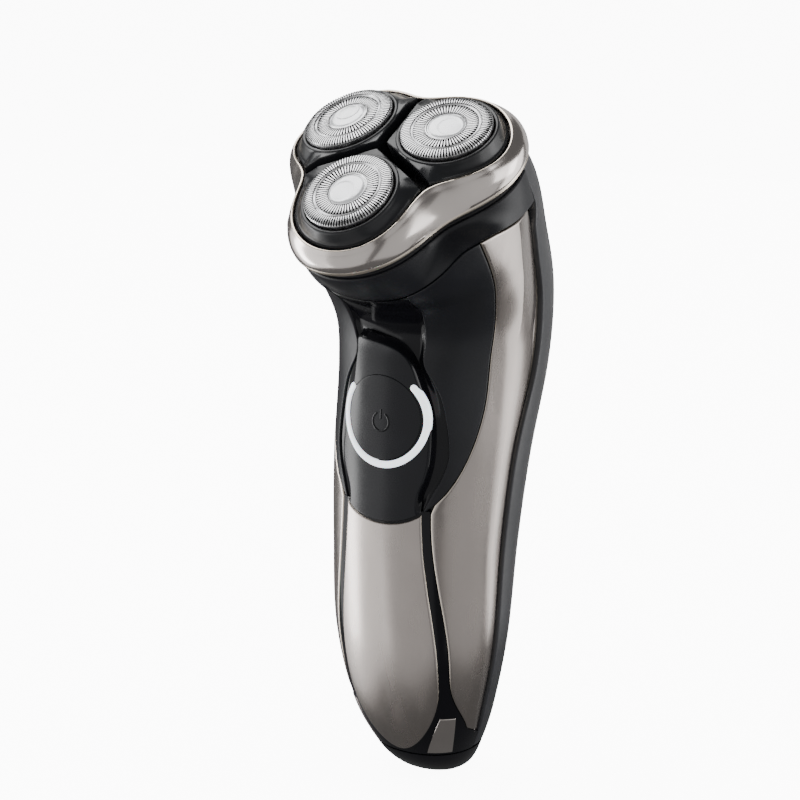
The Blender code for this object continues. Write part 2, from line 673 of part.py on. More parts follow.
def head_frame(lid):
    """Plate under the holders with an opening for each cutter."""
    outer = inset(trim_low_r, 2.2)
    plate = finish("head_frame", stack_rings([lobed_ring(outer, -10.4, 42), lobed_ring(outer, -8.6, 42)]),
                   "matte_black", lid)
    for name, turn in HEADS:
        hole = prism(circle(10.4, 24, (0, -CUTTER_RADIUS)), -12.0, -7.0)
        bmesh.ops.rotate(hole, cent=(0, 0, 0), matrix=Matrix.Rotation(math.radians(turn), 3, "Z"),
                         verts=hole.verts)
        cut(plate, cutter("guide_frame_opening_" + name, hole, lid))
    cut(plate, cutter("guide_knob_bore", prism(circle(2.2, 16), -12.0, -7.0), lid))


def holder_outline(shrink, count=14):
    """Sector between two arms of the groove, round the front cutter, as (x, y)."""
    points = [(0.0, -GROOVE / 2 / math.sin(math.radians(60)) - shrink)]
    for j in range(count + 1):
        phi = math.radians(-150 + 120 * j / count)
        r = trim_top_r(phi) - 1.6 - shrink
        x, y = r * math.cos(phi), r * math.sin(phi)
        edge = Vector((math.cos(math.radians(-30)), math.sin(math.radians(-30))))
        if x < 0:
            edge.x = -edge.x
        side = abs(edge.x * y - edge.y * x)
        missing = max(GROOVE / 2 + shrink - side, 0.0)
        points.append((x - math.copysign(missing * 0.5, x), y - missing * 0.866))
    return points


def cutting_units(lid):
    for name, turn in HEADS:
        sector = empty("sector_" + name, lid, rotation=(0, 0, turn))
        axis = empty("cutter_datum_" + name, sector, (0, -CUTTER_RADIUS, 0), (CUTTER_TILT, 0, 0))
        outline, top = holder_outline(0.0), holder_outline(1.2)
        deck = stack_rings([[(x, y, -7.6) for x, y in outline],
                            [(x, y, trim_top_n(math.atan2(y, x)) + 0.1) for x, y in outline],
                            [(x, y, -1.4 - 0.035 * max(-y - 20, 0) * 4) for x, y in top]])
        holder = finish("cutter_holder_" + name, deck, "matte_black", sector)
        well = cutter("guide_cap_well_" + name, prism(circle(CAP_R + 0.25, 32), -14.0, 6.0), axis)
        cut(holder, well)
        cap = turned([(CAP_R, -3.6), (CAP_R, -0.9), (CAP_R - 0.5, 0.0), (7.9, 0.2), (7.3, -0.2),
                      (6.9, 0.25), (4.5, 0.3), (4.5, -0.6), (7.3, -0.9),
                      (CAP_R - 1.2, -0.9), (CAP_R - 1.0, -3.6)], 24)
        finish("guard_cap_" + name, cap, "steel", axis)
        disc = turned([(0, -0.75), (3.4, -0.75), (4.2, -0.4), (4.2, 0.3), (3.9, 0.5), (0, 0.7)], 16)
        finish("cap_disc_" + name, disc, "silver_disc", axis)
        blade = turned([(8.4, -1.3), (8.4, -2.6), (3.2, -3.2), (3.2, -6.4), (2.5, -6.4),
                        (2.5, -2.6), (0, -2.6), (0, -1.9), (3.4, -1.9), (4.8, -1.0),
                        (6.3, -1.2), (7.4, -1.2)], 16)
        finish("rotary_cutter_" + name, blade, "steel", axis)


def retainer(lid):
    """Frame that holds the cutters in from below, with the knob that locks it."""
    low, high = JOINT_N - 1.5, JOINT_N - 0.3
    frame = finish("retaining_frame", prism(circle(7.6, 20), low, high), "nylon", lid)
    for name, turn in HEADS:
        for step, radius, tool in (("ring", 8.2, "UNION"), ("eye", 5.6, "DIFFERENCE")):
            grow = 0.5 if tool == "DIFFERENCE" else 0.0
            disc = prism(circle(radius, 24, (0, -CUTTER_RADIUS)), low - grow, high + grow)
            bmesh.ops.rotate(disc, cent=(0, 0, 0), matrix=Matrix.Rotation(math.radians(turn), 3, "Z"),
                             verts=disc.verts)
            cut(frame, cutter(f"guide_retainer_{step}_{name}", disc, lid), tool)
    cut(frame, cutter("guide_knob_hole", prism(circle(2.2, 16), low - 1, high + 1), lid))
    knob = turned([(0, -14.9), (3.4, -14.9), (3.6, -14.5), (3.6, -12.8), (1.9, -12.8),
                   (1.9, -8.3), (0, -8.3)], 16)
    finish("retaining_knob", knob, "matte_black", lid)


def build():
    clear_scene()
    head = empty("head_datum", location=HEAD_CENTRE, rotation=(HEAD_TILT, 0, 0))
    housings(head)
    bottom_cap()
    front_plates()
    control_group()
    handle_insides()
    collar_and_chamber(head)
    hinge_bridge(head)
    drive_train(head)
    lid = on_axis("lid_hinge", head, (0, HINGE_V, HINGE_N))
    trim_ring(lid, head)
    head_frame(lid)
    cutting_units(lid)
    retainer(lid)
    for thing in bpy.data.objects:
        if thing.parent is None:
            thing.location.y += FOOT_Y * MM


build()
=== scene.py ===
"""Looks of the three-head rotary shaver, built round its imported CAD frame.

The visible skins are lofted again, finely, through the same handle stations and the same
three-lobed head outlines as the CAD solids.  Lengths are in millimetres until a mesh is made.
"""
import json
import math

import bmesh
import bpy
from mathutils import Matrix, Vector
from mathutils.kdtree import KDTree


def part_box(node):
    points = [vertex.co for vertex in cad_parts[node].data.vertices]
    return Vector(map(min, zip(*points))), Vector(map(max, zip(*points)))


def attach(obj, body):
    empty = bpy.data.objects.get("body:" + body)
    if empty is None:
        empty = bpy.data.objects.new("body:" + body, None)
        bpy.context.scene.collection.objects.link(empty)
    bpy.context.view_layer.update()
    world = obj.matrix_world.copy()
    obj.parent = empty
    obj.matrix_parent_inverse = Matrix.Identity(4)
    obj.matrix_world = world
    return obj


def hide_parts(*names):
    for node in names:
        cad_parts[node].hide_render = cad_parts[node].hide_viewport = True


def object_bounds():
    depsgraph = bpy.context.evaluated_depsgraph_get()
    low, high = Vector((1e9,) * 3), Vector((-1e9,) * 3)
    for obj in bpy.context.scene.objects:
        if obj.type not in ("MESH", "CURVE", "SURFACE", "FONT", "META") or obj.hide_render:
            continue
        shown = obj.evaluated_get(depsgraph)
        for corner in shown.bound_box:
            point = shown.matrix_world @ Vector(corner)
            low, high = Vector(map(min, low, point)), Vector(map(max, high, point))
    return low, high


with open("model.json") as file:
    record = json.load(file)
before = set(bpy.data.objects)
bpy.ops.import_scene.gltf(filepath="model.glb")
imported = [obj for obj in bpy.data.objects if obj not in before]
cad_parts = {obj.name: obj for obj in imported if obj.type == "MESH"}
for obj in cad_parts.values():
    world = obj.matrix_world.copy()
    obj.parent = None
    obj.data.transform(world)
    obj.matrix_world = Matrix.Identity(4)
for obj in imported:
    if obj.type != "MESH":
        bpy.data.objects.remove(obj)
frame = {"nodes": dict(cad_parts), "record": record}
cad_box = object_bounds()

MM = 0.001
RECORD = frame["record"]
JOINTS = {joint["name"]: joint for joint in RECORD["behaviour"]["joints"]}

# ---- places taken from the frame --------------------------------------------------------------
inlet_low, inlet_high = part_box("charge_inlet")
FOOT = Vector((0.0, (inlet_low.y + inlet_high.y) / 2 / MM, 0.0))
PINION_N = -19.4                                   # height of the pinion's middle in the head
HEAD_AXIS = Vector(JOINTS["pinion_spin"]["axis"]).normalized()
HEAD_CENTRE = Vector(JOINTS["pinion_spin"]["pos_m"]) / MM - HEAD_AXIS * PINION_N
HEAD_TILT = math.atan2(-HEAD_AXIS.y, HEAD_AXIS.z)
UPHILL = Vector((0.0, math.cos(HEAD_TILT), math.sin(HEAD_TILT)))

# ---- handle, as in the CAD --------------------------------------------------------------------
# centre y from the foot, centre z, tilt in degrees, half width, depth to the front and to the back
STATIONS = (
    (0.0, 0.0, 0.0, 6.0, 5.4, 5.4),
    (-1.6, 2.5, 0.0, 9.2, 9.0, 8.4),
    (-4.0, 8.0, 0.0, 12.6, 11.8, 11.3),
    (-6.6, 19.0, 0.0, 17.3, 14.1, 13.5),
    (-7.1, 37.0, 0.0, 21.1, 16.8, 14.9),
    (-5.4, 59.0, 0.0, 21.9, 19.6, 17.1),
    (-2.6, 79.0, 0.0, 22.9, 21.5, 18.7),
    (2.7, 99.0, 0.0, 23.6, 25.4, 20.7),
    (1.6, 113.0, 15.0, 24.4, 24.2, 25.1),
    (-4.5, 124.5, 26.0, 26.0, 22.5, 27.0),
    (-9.3, 133.9, 33.0, 27.0, 26.5, 27.5),
    (-16.3, 143.5, 33.0, 27.4, 27.0, 25.5),
)
SECTION_POWER = 2.15
SPLIT = 2.0
SKIN = 1.2
WALL = 1.8
CHANNEL_DEPTH = 1.3            # the glossy channel round the pad lies this deep
BUTTON_Z = 91.0
BUTTON_R = 9.55
HOLE_R = 9.66
RING_X = 0.4
RING_R = 10.5
RING_HALF = 0.82
RING_ENDS = (143.0, 410.0)     # degrees from +X, round by the bottom
PANEL_BOTTOM_Z = 67.0
PANEL_ROUND_Z = 97.0
PANEL_ANGLE = 57.0
WING_TIP_Z = 70.1
PLATE_BOTTOM_Z = 9.0
PLATE_WIDEST_Z = 27.0
SIDE_BOTTOM_Z = 13.4
PAD_TOP_Z = 117.0
REFLECTION_PATCH_LOW_Z = 8.8              # painted reflection: bright plated patches between the lower ends of the plates stand in for a light mirrored in the gloss black
REFLECTION_PATCH_TOP_Z = 19.4
SLOT_X, SLOT_Y = 3.9, 2.2      # half sizes of the slot for the charging plug
COLLAR_STEP = 5.6              # degrees that the rear housing stands back beside the collar
COLLAR_REACH = 104.6           # degrees to each side that the collar goes round
SHELL_DROP = SKIN + 0.35       # the front shell lies this deep under the plates
BUTTON_THICK = 0.5
SEAM = 0.2                     # visible gap between neighbouring skins
ROLL = 0.35                    # radius of the rolled edges

# ---- head, as in the CAD ----------------------------------------------------------------------
CUTTER_RADIUS = 14.8
CUTTER_TILT = math.radians(6.2)
CAP_R = 10.1
GROOVE = 2.4
JOINT_N = -11.0
HEADS = (("front", 0.0), ("right", 120.0), ("left", 240.0))
OUTER_SLOTS = 96
INNER_SLOTS = 60

# outlines along the handle: height z, half angle in degrees
PAD_RIGHT = ((66.0, 24.2), (71.0, 24.2), (74.0, 25.2), (77.0, 28.0), (81.0, 30.3), (86.0, 30.6),
             (91.0, 29.2), (96.0, 25.4), (100.0, 21.8), (104.0, 19.0), (109.0, 15.2),
             (112.0, 11.8), (114.5, 6.8), (116.2, -0.5), (117.0, -10.0))
PAD_LEFT = ((66.0, -24.2), (71.0, -24.2), (74.0, -25.2), (77.0, -28.0), (81.0, -29.6),
            (86.0, -28.6), (91.0, -25.6), (96.0, -22.6), (100.0, -21.0), (109.0, -19.8),
            (114.0, -19.2), (116.2, -17.0), (117.0, -13.0))
CHANNEL_EDGE = ((66.0, 24.6), (70.0, 25.4), (72.0, 27.4), (75.0, 31.0), (78.0, 35.0),
                (81.5, 38.0), (84.0, 38.4), (90.0, 35.5), (96.0, 31.0), (100.0, 26.0),
                (104.0, 21.5), (109.0, 19.5), (116.0, 20.5), (126.0, 22.0))
# the neck's top edge: angle round the handle, height along the head's axis
NECK_EDGE = ((0.0, -24.4), (18.0, -23.2), (31.0, -21.2), (44.0, -18.5), (51.0, -16.8),
             (58.0, -15.9), (72.0, -17.0), (82.0, -18.8), (94.0, -21.0), (112.0, -23.0))


# ---- maths ------------------------------------------------------------------------------------
def smooth_step(low, high, value):
    t = min(max((value - low) / (high - low), 0.0), 1.0)
    return t * t * (3 - 2 * t)


def along(table, x):
    """Smooth curve through a table of (x, y) pairs, held level past its ends."""
    if x <= table[0][0]:
        return table[0][1]
    if x >= table[-1][0]:
        return table[-1][1]
    i = max(k for k in range(len(table) - 1) if table[k][0] <= x)
    (x0, y0), (x1, y1) = table[i], table[i + 1]
    before = table[i - 1] if i else table[i]
    after = table[i + 2] if i + 2 < len(table) else table[i + 1]
    h = x1 - x0
    m0 = (y1 - before[1]) / (x1 - before[0]) * h
    m1 = (after[1] - y0) / (after[0] - x0) * h
    t = (x - x0) / h
    return ((2 * t ** 3 - 3 * t ** 2 + 1) * y0 + (t ** 3 - 2 * t ** 2 + t) * m0
            + (3 * t ** 2 - 2 * t ** 3) * y1 + (t ** 3 - t ** 2) * m1)


def station(u):
    last = len(STATIONS) - 1
    i = min(max(int(math.floor(u)), 0), last - 1)
    t = u - i
    p1, p2 = STATIONS[i], STATIONS[i + 1]
    p0 = STATIONS[i - 1] if i > 0 else [2 * a - b for a, b in zip(p1, p2)]
    p3 = STATIONS[i + 2] if i + 2 <= last else [2 * b - a for a, b in zip(p1, p2)]
    return [0.5 * (2 * b + (c - a) * t + (2 * a - 5 * b + 4 * c - d) * t ** 2
                   + (3 * b - a - 3 * c + d) * t ** 3) for a, b, c, d in zip(p0, p1, p2, p3)]


def station_at(z):
    low, high = 0.0, float(len(STATIONS) - 1)
    for _ in range(32):
        middle = (low + high) / 2
        low, high = (middle, high) if station(middle)[1] < z else (low, middle)
    return low


def height_of(u):
    return station(u)[1]


def surface(u, angle):
    """Point of the bare skin; angle 0 faces the button and +90 faces +X."""
    y0, z0, tilt, half, front, back = station(u)
    s, c = math.sin(math.radians(angle)), math.cos(math.radians(angle))
    power = 2 / SECTION_POWER
    across = math.copysign(abs(s) ** power, s) * half
    deep = math.copysign(abs(c) ** power, c) * (front if c > 0 else back)
    lean = math.radians(tilt)
    return Vector((across, y0 - deep * math.cos(lean), z0 - deep * math.sin(lean))) + FOOT


def skin(u, angle, offset):
    """Point of the skin moved along its normal."""
    top = len(STATIONS) - 1
    rise = surface(min(u + 0.02, top), angle) - surface(max(u - 0.02, 0), angle)
    around = surface(u, angle + 0.5) - surface(u, angle - 0.5)
    return surface(u, angle) + around.cross(rise).normalized() * offset


def head_coords(point):
    """(x, uphill, along the head's axis) of a point."""
    d = point - HEAD_CENTRE
    return d.x, d.dot(UPHILL), d.dot(HEAD_AXIS)


def head_point(x, v, n):
    return HEAD_CENTRE + Vector((x, 0, 0)) + UPHILL * v + HEAD_AXIS * n


def neck_station(angle):
    """Row at which the handle's skin meets the collar, at an angle round the handle."""
    goal = along(NECK_EDGE, abs(angle))
    low, high = 8.6, 11.0
    for _ in range(24):
        middle = (low + high) / 2
        below = head_coords(surface(middle, angle))[2] < goal
        low, high = (middle, high) if below else (low, middle)
    return low


def parting_angle(u):
    return 86.0 + 15.0 * smooth_step(75.0, 140.0, height_of(u))


def plate_angle(z):
    body = 24.5 + 14.7 * smooth_step(74.0, 20.0, z)
    end = min(max((z - PLATE_BOTTOM_Z) / (PLATE_WIDEST_Z - PLATE_BOTTOM_Z), 0.0), 1.0)
    return body * math.sqrt(1 - (1 - end) ** 2) ** 1.1


def channel_angle(z):
    flare = smooth_step(34.0, SIDE_BOTTOM_Z, z) ** 2
    return 30.0 + 16.0 * smooth_step(72.0, 26.0, z) + 24.0 * flare


def flank_start(u):
    """Where the flank plate begins at a station: it runs out to a point at its lower end."""
    z = height_of(u)
    inner = channel_angle(z)
    tip = 1 - smooth_step(SIDE_BOTTOM_Z, SIDE_BOTTOM_Z + 2.8, z)
    return inner + (parting_angle(u) - 1.2 - inner) * tip


def panel_angle(z):
    reach = min(max((PANEL_ROUND_Z - z) / (PANEL_ROUND_Z - PANEL_BOTTOM_Z), 0.0), 1.0)
    return PANEL_ANGLE * math.sqrt(1 - reach ** 2) + 8.0 * smooth_step(105.0, 135.0, z)


def panel_low_z(angle):
    """Height of the panel's U-shaped lower edge at an angle."""
    share = min(abs(angle) / PANEL_ANGLE, 1.0)
    return PANEL_ROUND_Z - (PANEL_ROUND_Z - PANEL_BOTTOM_Z) * math.sqrt(1 - share ** 2)


def pad_rise(z):
    return 0.3 + 0.7 * smooth_step(69.0, 83.0, z)


# ---- mesh helpers -------------------------------------------------------------------------------
def crowded(count):
    """Steps from 0 to 1 that crowd at both ends."""
    return [0.5 - 0.5 * math.cos(math.pi * i / count) for i in range(count + 1)]


def crowded_low(count):
    return [1 - math.cos(math.pi / 2 * i / count) for i in range(count + 1)]


def even(count):
    return [i / count for i in range(count + 1)]


def laid(rows, level):
    """Points of the skin, all at one level, for a grid of (u, angle) pairs."""
    return [[skin(u, a, level) for u, a in row] for row in rows]


def add_grid(bm, outer, inner, pick=None):
    """Closed solid between two equal grids; pick(i, j) gives the outer faces' material index."""
    top = [[bm.verts.new(p) for p in row] for row in outer]
    low = [[bm.verts.new(p) for p in row] for row in inner]
    last_i, last_j = len(top) - 1, len(top[0]) - 1

    def face(i, j, *corners):
        made = bm.faces.new(corners)
        if pick:
            made.material_index = pick(i, j)
    for i in range(last_i):
        for j in range(last_j):
            face(i, j, top[i][j], top[i][j + 1], top[i + 1][j + 1], top[i + 1][j])
            face(i, j, low[i][j], low[i + 1][j], low[i + 1][j + 1], low[i][j + 1])
    for i in (0, last_i):
        for j in range(last_j):
            face(min(i, last_i - 1), j, top[i][j], low[i][j], low[i][j + 1], top[i][j + 1])
    for j in (0, last_j):
        for i in range(last_i):
            face(i, min(j, last_j - 1), top[i][j], top[i + 1][j], low[i + 1][j], low[i][j])


def add_rings(bm, rings, closed=False, index=0):
    """Skin over a list of equal rings; closed joins the last ring to the first."""
    made = [[bm.verts.new(p) for p in ring] for ring in rings]
    count = len(made[0])
    for low, high in zip(made, made[1:] + made[:1] if closed else made[1:]):
        for j in range(count):
            k = (j + 1) % count
            bm.faces.new((low[j], low[k], high[k], high[j])).material_index = index
    if not closed:
        bm.faces.new(made[0][::-1]).material_index = index
        bm.faces.new(made[-1]).material_index = index


def placed(name, data):
    """New object in the scene."""
    made = bpy.data.objects.new(name, data)
    bpy.context.scene.collection.objects.link(made)
    return made


def mesh_of(name, bm):
    """Mesh in metres from a millimetre bmesh."""
    bmesh.ops.scale(bm, vec=(MM, MM, MM), verts=bm.verts)
    bmesh.ops.recalc_face_normals(bm, faces=bm.faces)
    mesh = bpy.data.meshes.new(name)
    bm.to_mesh(mesh)
    bm.free()
    return mesh


def piece(name, bm, body, replaced, mats, sharp=40.0, weld=0.004):
    """Turn a millimetre bmesh into a piece that rides a body and stands for CAD nodes."""
    bmesh.ops.remove_doubles(bm, verts=bm.verts, dist=weld)
    bmesh.ops.dissolve_degenerate(bm, edges=bm.edges, dist=weld / 2)
    mesh = mesh_of(name, bm)
    for mat in mats:
        mesh.materials.append(mat)
    mesh.shade_smooth()
    mesh.set_sharp_from_angle(angle=math.radians(sharp))
    made = placed(name, mesh)
    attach(made, body)
    if replaced:
        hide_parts(*replaced)
    return made


def roll_drop(distance, radius=ROLL):
    """How far a rolled edge has dropped at a distance from the outline."""
    if distance >= radius:
        return 0.0
    return radius - math.sqrt(max(radius ** 2 - (radius - distance) ** 2, 0.0))


def outline_tree(rows):
    """Search tree over the rim of a grid of (u, angle) pairs, filled in finely."""
    rim = (rows[0] + [row[-1] for row in rows[1:]] + rows[-1][::-1][1:]
           + [row[0] for row in rows[::-1]][1:])
    points = []
    for (u0, a0), (u1, a1) in zip(rim, rim[1:]):
        start, end = surface(u0, a0), surface(u1, a1)
        parts = max(int((end - start).length / 0.15), 1)
        points += [start.lerp(end, k / parts) for k in range(parts)]
    tree = KDTree(len(points))
    for k, point in enumerate(points):
        tree.insert(point, k)
    tree.balance()
    return tree


def rolled_plate(bm, rows, outside, inside, radius=ROLL, pick=None):
    """Plate over a grid of (u, angle) pairs whose whole rim is rolled over."""
    tree = outline_tree(rows)

    def lift(u, a):
        distance = tree.find(surface(u, a))[2]
        level = outside(u, a) if callable(outside) else outside
        return skin(u, a, level - roll_drop(distance, radius))
    outer = [[lift(u, a) for u, a in row] for row in rows]
    add_grid(bm, outer, laid(rows, inside), pick)


def front_at(x, z, offset):
    """Point of the front skin straight behind (x, z) in the plane that faces the button."""
    goal_x, goal_z = x, z
    for _ in range(5):
        u = station_at(goal_z)
        half = station(u)[3]
        share = min(abs(goal_x) / half, 1.0) ** (SECTION_POWER / 2)
        angle = math.copysign(math.degrees(math.asin(share)), goal_x)
        point = skin(u, angle, offset)
        goal_x += x - point.x
        goal_z += z - point.z
    return point


# ---- materials --------------------------------------------------------------------------------
class Nodes:
    """Short hand for building one node material."""

    def __init__(self, name):
        self.mat = bpy.data.materials.new(name)
        self.mat.use_nodes = True
        self.tree = self.mat.node_tree
        self.shader = self.tree.nodes["Principled BSDF"]
        self.coords = self.tree.nodes.new("ShaderNodeTexCoord").outputs["Object"]

    def fill(self, node, values):
        """Set a node's sockets by name, each to a constant or to another node's output."""
        for key, value in values.items():
            socket = node.inputs[key.replace("_", " ")]
            if isinstance(value, bpy.types.NodeSocket):
                self.tree.links.new(value, socket)
            else:
                socket.default_value = value
        return node

    def set(self, **values):
        self.fill(self.shader, values)

    def add(self, kind, **values):
        return self.fill(self.tree.nodes.new("ShaderNode" + kind), values)

    def noise(self, scale, detail=3.0, stretch=(1, 1, 1)):
        mapping = self.add("Mapping", Scale=stretch, Vector=self.coords)
        return self.add("TexNoise", Scale=scale, Detail=detail, Roughness=0.55,
                        Vector=mapping.outputs["Vector"]).outputs["Fac"]

    def speckle(self, scale, randomness):
        return self.add("TexVoronoi", Scale=scale, Randomness=randomness,
                        Vector=self.coords).outputs["Distance"]

    def spread(self, source, low, high):
        return self.add("MapRange", From_Min=0.3, From_Max=0.7, To_Min=low, To_Max=high,
                        Value=source).outputs["Result"]

    def colours(self, source, *stops):
        ramp = self.add("ValToRGB", Fac=source)
        elements = ramp.color_ramp.elements
        elements[0].position, elements[0].color = stops[0][0], (*stops[0][1], 1)
        elements[1].position, elements[1].color = stops[-1][0], (*stops[-1][1], 1)
        for place, colour in stops[1:-1]:
            elements.new(place).color = (*colour, 1)
        self.set(Base_Color=ramp.outputs["Color"])

    def rough(self, source, low, high):
        self.set(Roughness=self.spread(source, low, high))

    def bump(self, *layers):
        last = None
        for source, strength, distance in layers:
            made = self.add("Bump", Strength=strength, Distance=distance, Height=source)
            if last:
                self.fill(made, {"Normal": last})
            last = made.outputs["Normal"]
        self.set(Normal=last)


def tinted(colour, factor):
    return tuple(min(c * factor, 1.0) for c in colour)


def plated(name, colour, rough):
    """Mirror-like plating over moulded plastic: faint waviness, hairlines and handling haze."""
    n = Nodes(name)
    n.set(Metallic=1.0, Coat_Weight=0.25, Coat_Roughness=0.04)
    n.colours(n.noise(90.0, 4.0), (0.25, tinted(colour, 0.94)), (0.55, colour),
              (0.8, tinted(colour, 1.05)))
    n.rough(n.noise(240.0, 5.0, (1, 1, 0.2)), *rough)
    n.bump((n.noise(45.0, 2.0), 0.012, 0.0006), (n.noise(600.0, 2.0), 0.01, 0.00003))
    return n.mat


def plastic(name, colour, rough, grain=2600.0, strength=0.18, coat=0.0, specular=0.5):
    """Moulded plastic with a fine spark-eroded texture and uneven sheen."""
    n = Nodes(name)
    n.set(Coat_Weight=coat, Coat_Roughness=0.05, Specular_IOR_Level=specular)
    n.colours(n.noise(60.0, 4.0), (0.3, tinted(colour, 0.82)), (0.7, tinted(colour, 1.22)))
    n.rough(n.noise(130.0, 4.0), rough[0], rough[1])
    n.bump((n.noise(grain, 3.0), strength, 0.00006), (n.noise(38.0, 2.0), 0.04, 0.0006))
    return n.mat


def ground_steel(name, colour, rough, stretch=(1, 1, 1)):
    n = Nodes(name)
    n.set(Metallic=1.0)
    n.colours(n.noise(320.0, 4.0, stretch), (0.3, tinted(colour, 0.8)), (0.7, tinted(colour, 1.12)))
    n.rough(n.noise(700.0, 4.0, stretch), rough[0], rough[1])
    n.bump((n.noise(2400.0, 3.0, stretch), 0.12, 0.00005))
    return n.mat


def light_guide():
    """Milky acrylic light guide, faintly lit from behind."""
    n = Nodes("light_guide")
    colour = (0.86, 0.89, 0.94)
    n.set(Subsurface_Weight=0.35, Subsurface_Scale=0.002, Coat_Weight=0.6, Coat_Roughness=0.05,
          Emission_Strength=1.1)
    n.shader.inputs["Emission Color"].default_value = (0.9, 0.94, 1.0, 1.0)
    n.colours(n.noise(180.0, 3.0), (0.3, tinted(colour, 0.94)), (0.7, tinted(colour, 1.06)))
    n.rough(n.noise(400.0, 3.0), 0.16, 0.3)
    n.bump((n.noise(900.0, 2.0), 0.05, 0.0001))
    return n.mat


def pearl(name):
    """Pearl-silver lacquer on the caps' middle discs."""
    n = Nodes(name)
    colour = (0.86, 0.87, 0.89)
    n.set(Metallic=0.55, Coat_Weight=0.8, Coat_Roughness=0.06)
    n.colours(n.noise(260.0, 4.0), (0.25, tinted(colour, 0.86)), (0.75, tinted(colour, 1.08)))
    n.rough(n.noise(520.0, 3.0), 0.2, 0.36)
    n.bump((n.noise(210.0, 3.0), 0.12, 0.0002))
    return n.mat


def circuit_green():
    n = Nodes("circuit_green")
    n.set(Coat_Weight=0.5, Coat_Roughness=0.2)
    n.colours(n.speckle(700.0, 0.2), (0.05, (0.30, 0.24, 0.08)), (0.12, (0.02, 0.17, 0.07)),
              (0.6, (0.015, 0.12, 0.05)))
    n.rough(n.noise(500.0), 0.3, 0.5)
    n.bump((n.speckle(700.0, 0.2), 0.2, 0.0001))
    return n.mat


def shrink_wrap():
    n = Nodes("shrink_wrap")
    n.set(Coat_Weight=0.4, Coat_Roughness=0.12)
    n.colours(n.noise(40.0, 3.0, (1, 1, 3)), (0.3, (0.03, 0.09, 0.30)), (0.7, (0.06, 0.15, 0.42)))
    n.rough(n.noise(200.0), 0.25, 0.42)
    n.bump((n.noise(150.0, 3.0, (1, 1, 0.1)), 0.15, 0.0003))
    return n.mat


CHAMPAGNE = (0.55, 0.495, 0.462)
MATS = {
    "plate": plated("champagne_plating", CHAMPAGNE, (0.22, 0.30)),
    "trim": plated("champagne_mirror", (0.80, 0.735, 0.695), (0.16, 0.22)),
    # painted highlight: a lighter, yellower copy of the plating for rolled edges and lips, where
    # the edges catch the light
    "rim": plated("painted_highlight_rim", (0.92, 0.82, 0.70), (0.2, 0.3)),
    "matte": plastic("satin_black", (0.0045, 0.005, 0.0075), (0.34, 0.44)),
    "pad": plastic("pad_black", (0.0035, 0.0038, 0.0055), (0.20, 0.28), 2200.0, 0.1, 0.0, 0.4),
    "gloss": plastic("gloss_black", (0.003, 0.003, 0.004), (0.10, 0.16), 700.0, 0.02, 0.0, 0.3),
    "deck": plastic("deck_black", (0.006, 0.0065, 0.008), (0.26, 0.36), 2000.0, 0.1, 0.1),
    "rear": plastic("rear_grip_black", (0.014, 0.0145, 0.018), (0.38, 0.5), specular=0.8),
    "dark": plastic("inner_black", (0.006, 0.006, 0.007), (0.5, 0.65)),
    "light": light_guide(),
    "pearl": pearl("pearl_disc"),
    "steel": ground_steel("cutter_steel", (0.82, 0.82, 0.83), (0.2, 0.34)),
    "blade": ground_steel("blade_steel", (0.28, 0.28, 0.29), (0.3, 0.42)),
    "slot": plastic("slot_shadow", (0.004, 0.004, 0.005), (0.6, 0.8)),
    "can": ground_steel("motor_can", (0.56, 0.56, 0.57), (0.25, 0.4), (1, 1, 0.1)),
    "nylon": plastic("white_nylon", (0.72, 0.71, 0.66), (0.42, 0.55), 1500.0, 0.12),
    "brass": ground_steel("turned_brass", (0.78, 0.58, 0.26), (0.18, 0.32), (1, 1, 4)),
    "green": circuit_green(),
    "wrap": shrink_wrap(),
}


def use(name):
    return MATS[name]


# ---- handle skins -----------------------------------------------------------------------------
def rear_housing():
    """Plain back shell: it meets the front at the parting line and steps back beside the collar."""
    bm = bmesh.new()
    low, high = SPLIT + 0.05, len(STATIONS) - 1.0
    rows = []
    for t in crowded(90):
        u = low + (high - low) * t
        edge = parting_angle(u) + 0.35 + COLLAR_STEP * smooth_step(9.55, 10.0, u)
        rows.append([(u, edge + (360 - 2 * edge) * s) for s in crowded(72)])
    rolled_plate(bm, rows, 0.0, -WALL, 0.5)
    return piece("rear_shell", bm, "handle", ["rear_housing"], [use("rear")])


def front_housing():
    """Glossy shell under the plates; it is seen in the channel between them, and near the bottom it
    carries two plated patches that paint in a reflection.
    """
    bm = bmesh.new()
    bottom = SPLIT + 0.05
    tops = [(-88.0 + 176.0 * s, neck_station(-88.0 + 176.0 * s) - 0.1) for s in even(56)]
    rows = [[(bottom + (top - SPLIT - 0.05) * t, angle) for angle, top in tops] for t in even(70)]
    add_grid(bm, laid(rows, -SHELL_DROP), laid(rows, -SHELL_DROP - WALL))
    top = station_at(70.5)
    rows = []
    for t in crowded_low(90):
        u = bottom + (top - bottom) * t
        z = height_of(u)
        reach = flank_start(u) - 0.35 if z > SIDE_BOTTOM_Z else 86.0
        rows.append([(u, (2 * s - 1) * reach) for s in even(60)])
    outer = [[skin(u, a, -0.05 - 0.12 * smooth_step(13.0, 24.0, height_of(u))) for u, a in row]
             for row in rows]
    add_grid(bm, outer, laid(rows, -SKIN - 0.6))
    # painted reflection: two patches in the mirror-like trim plating stand in for a light's
    # reflection on the glossy shell
    for side in (1, -1):
        rows = []
        for t in crowded(30):
            z = REFLECTION_PATCH_LOW_Z + (REFLECTION_PATCH_TOP_Z - REFLECTION_PATCH_LOW_Z) * t
            left, right = 28.0 + 12.5 * t, 57.0 - 2.0 * t
            rows.append([(station_at(z), side * (left + (right - left) * s)) for s in crowded(24)])
        rolled_plate(bm, rows, 0.0, -SKIN, 0.2, lambda i, j: 1)
    return piece("front_shell", bm, "handle", ["front_housing"],
                 [use("gloss"), use("trim")])


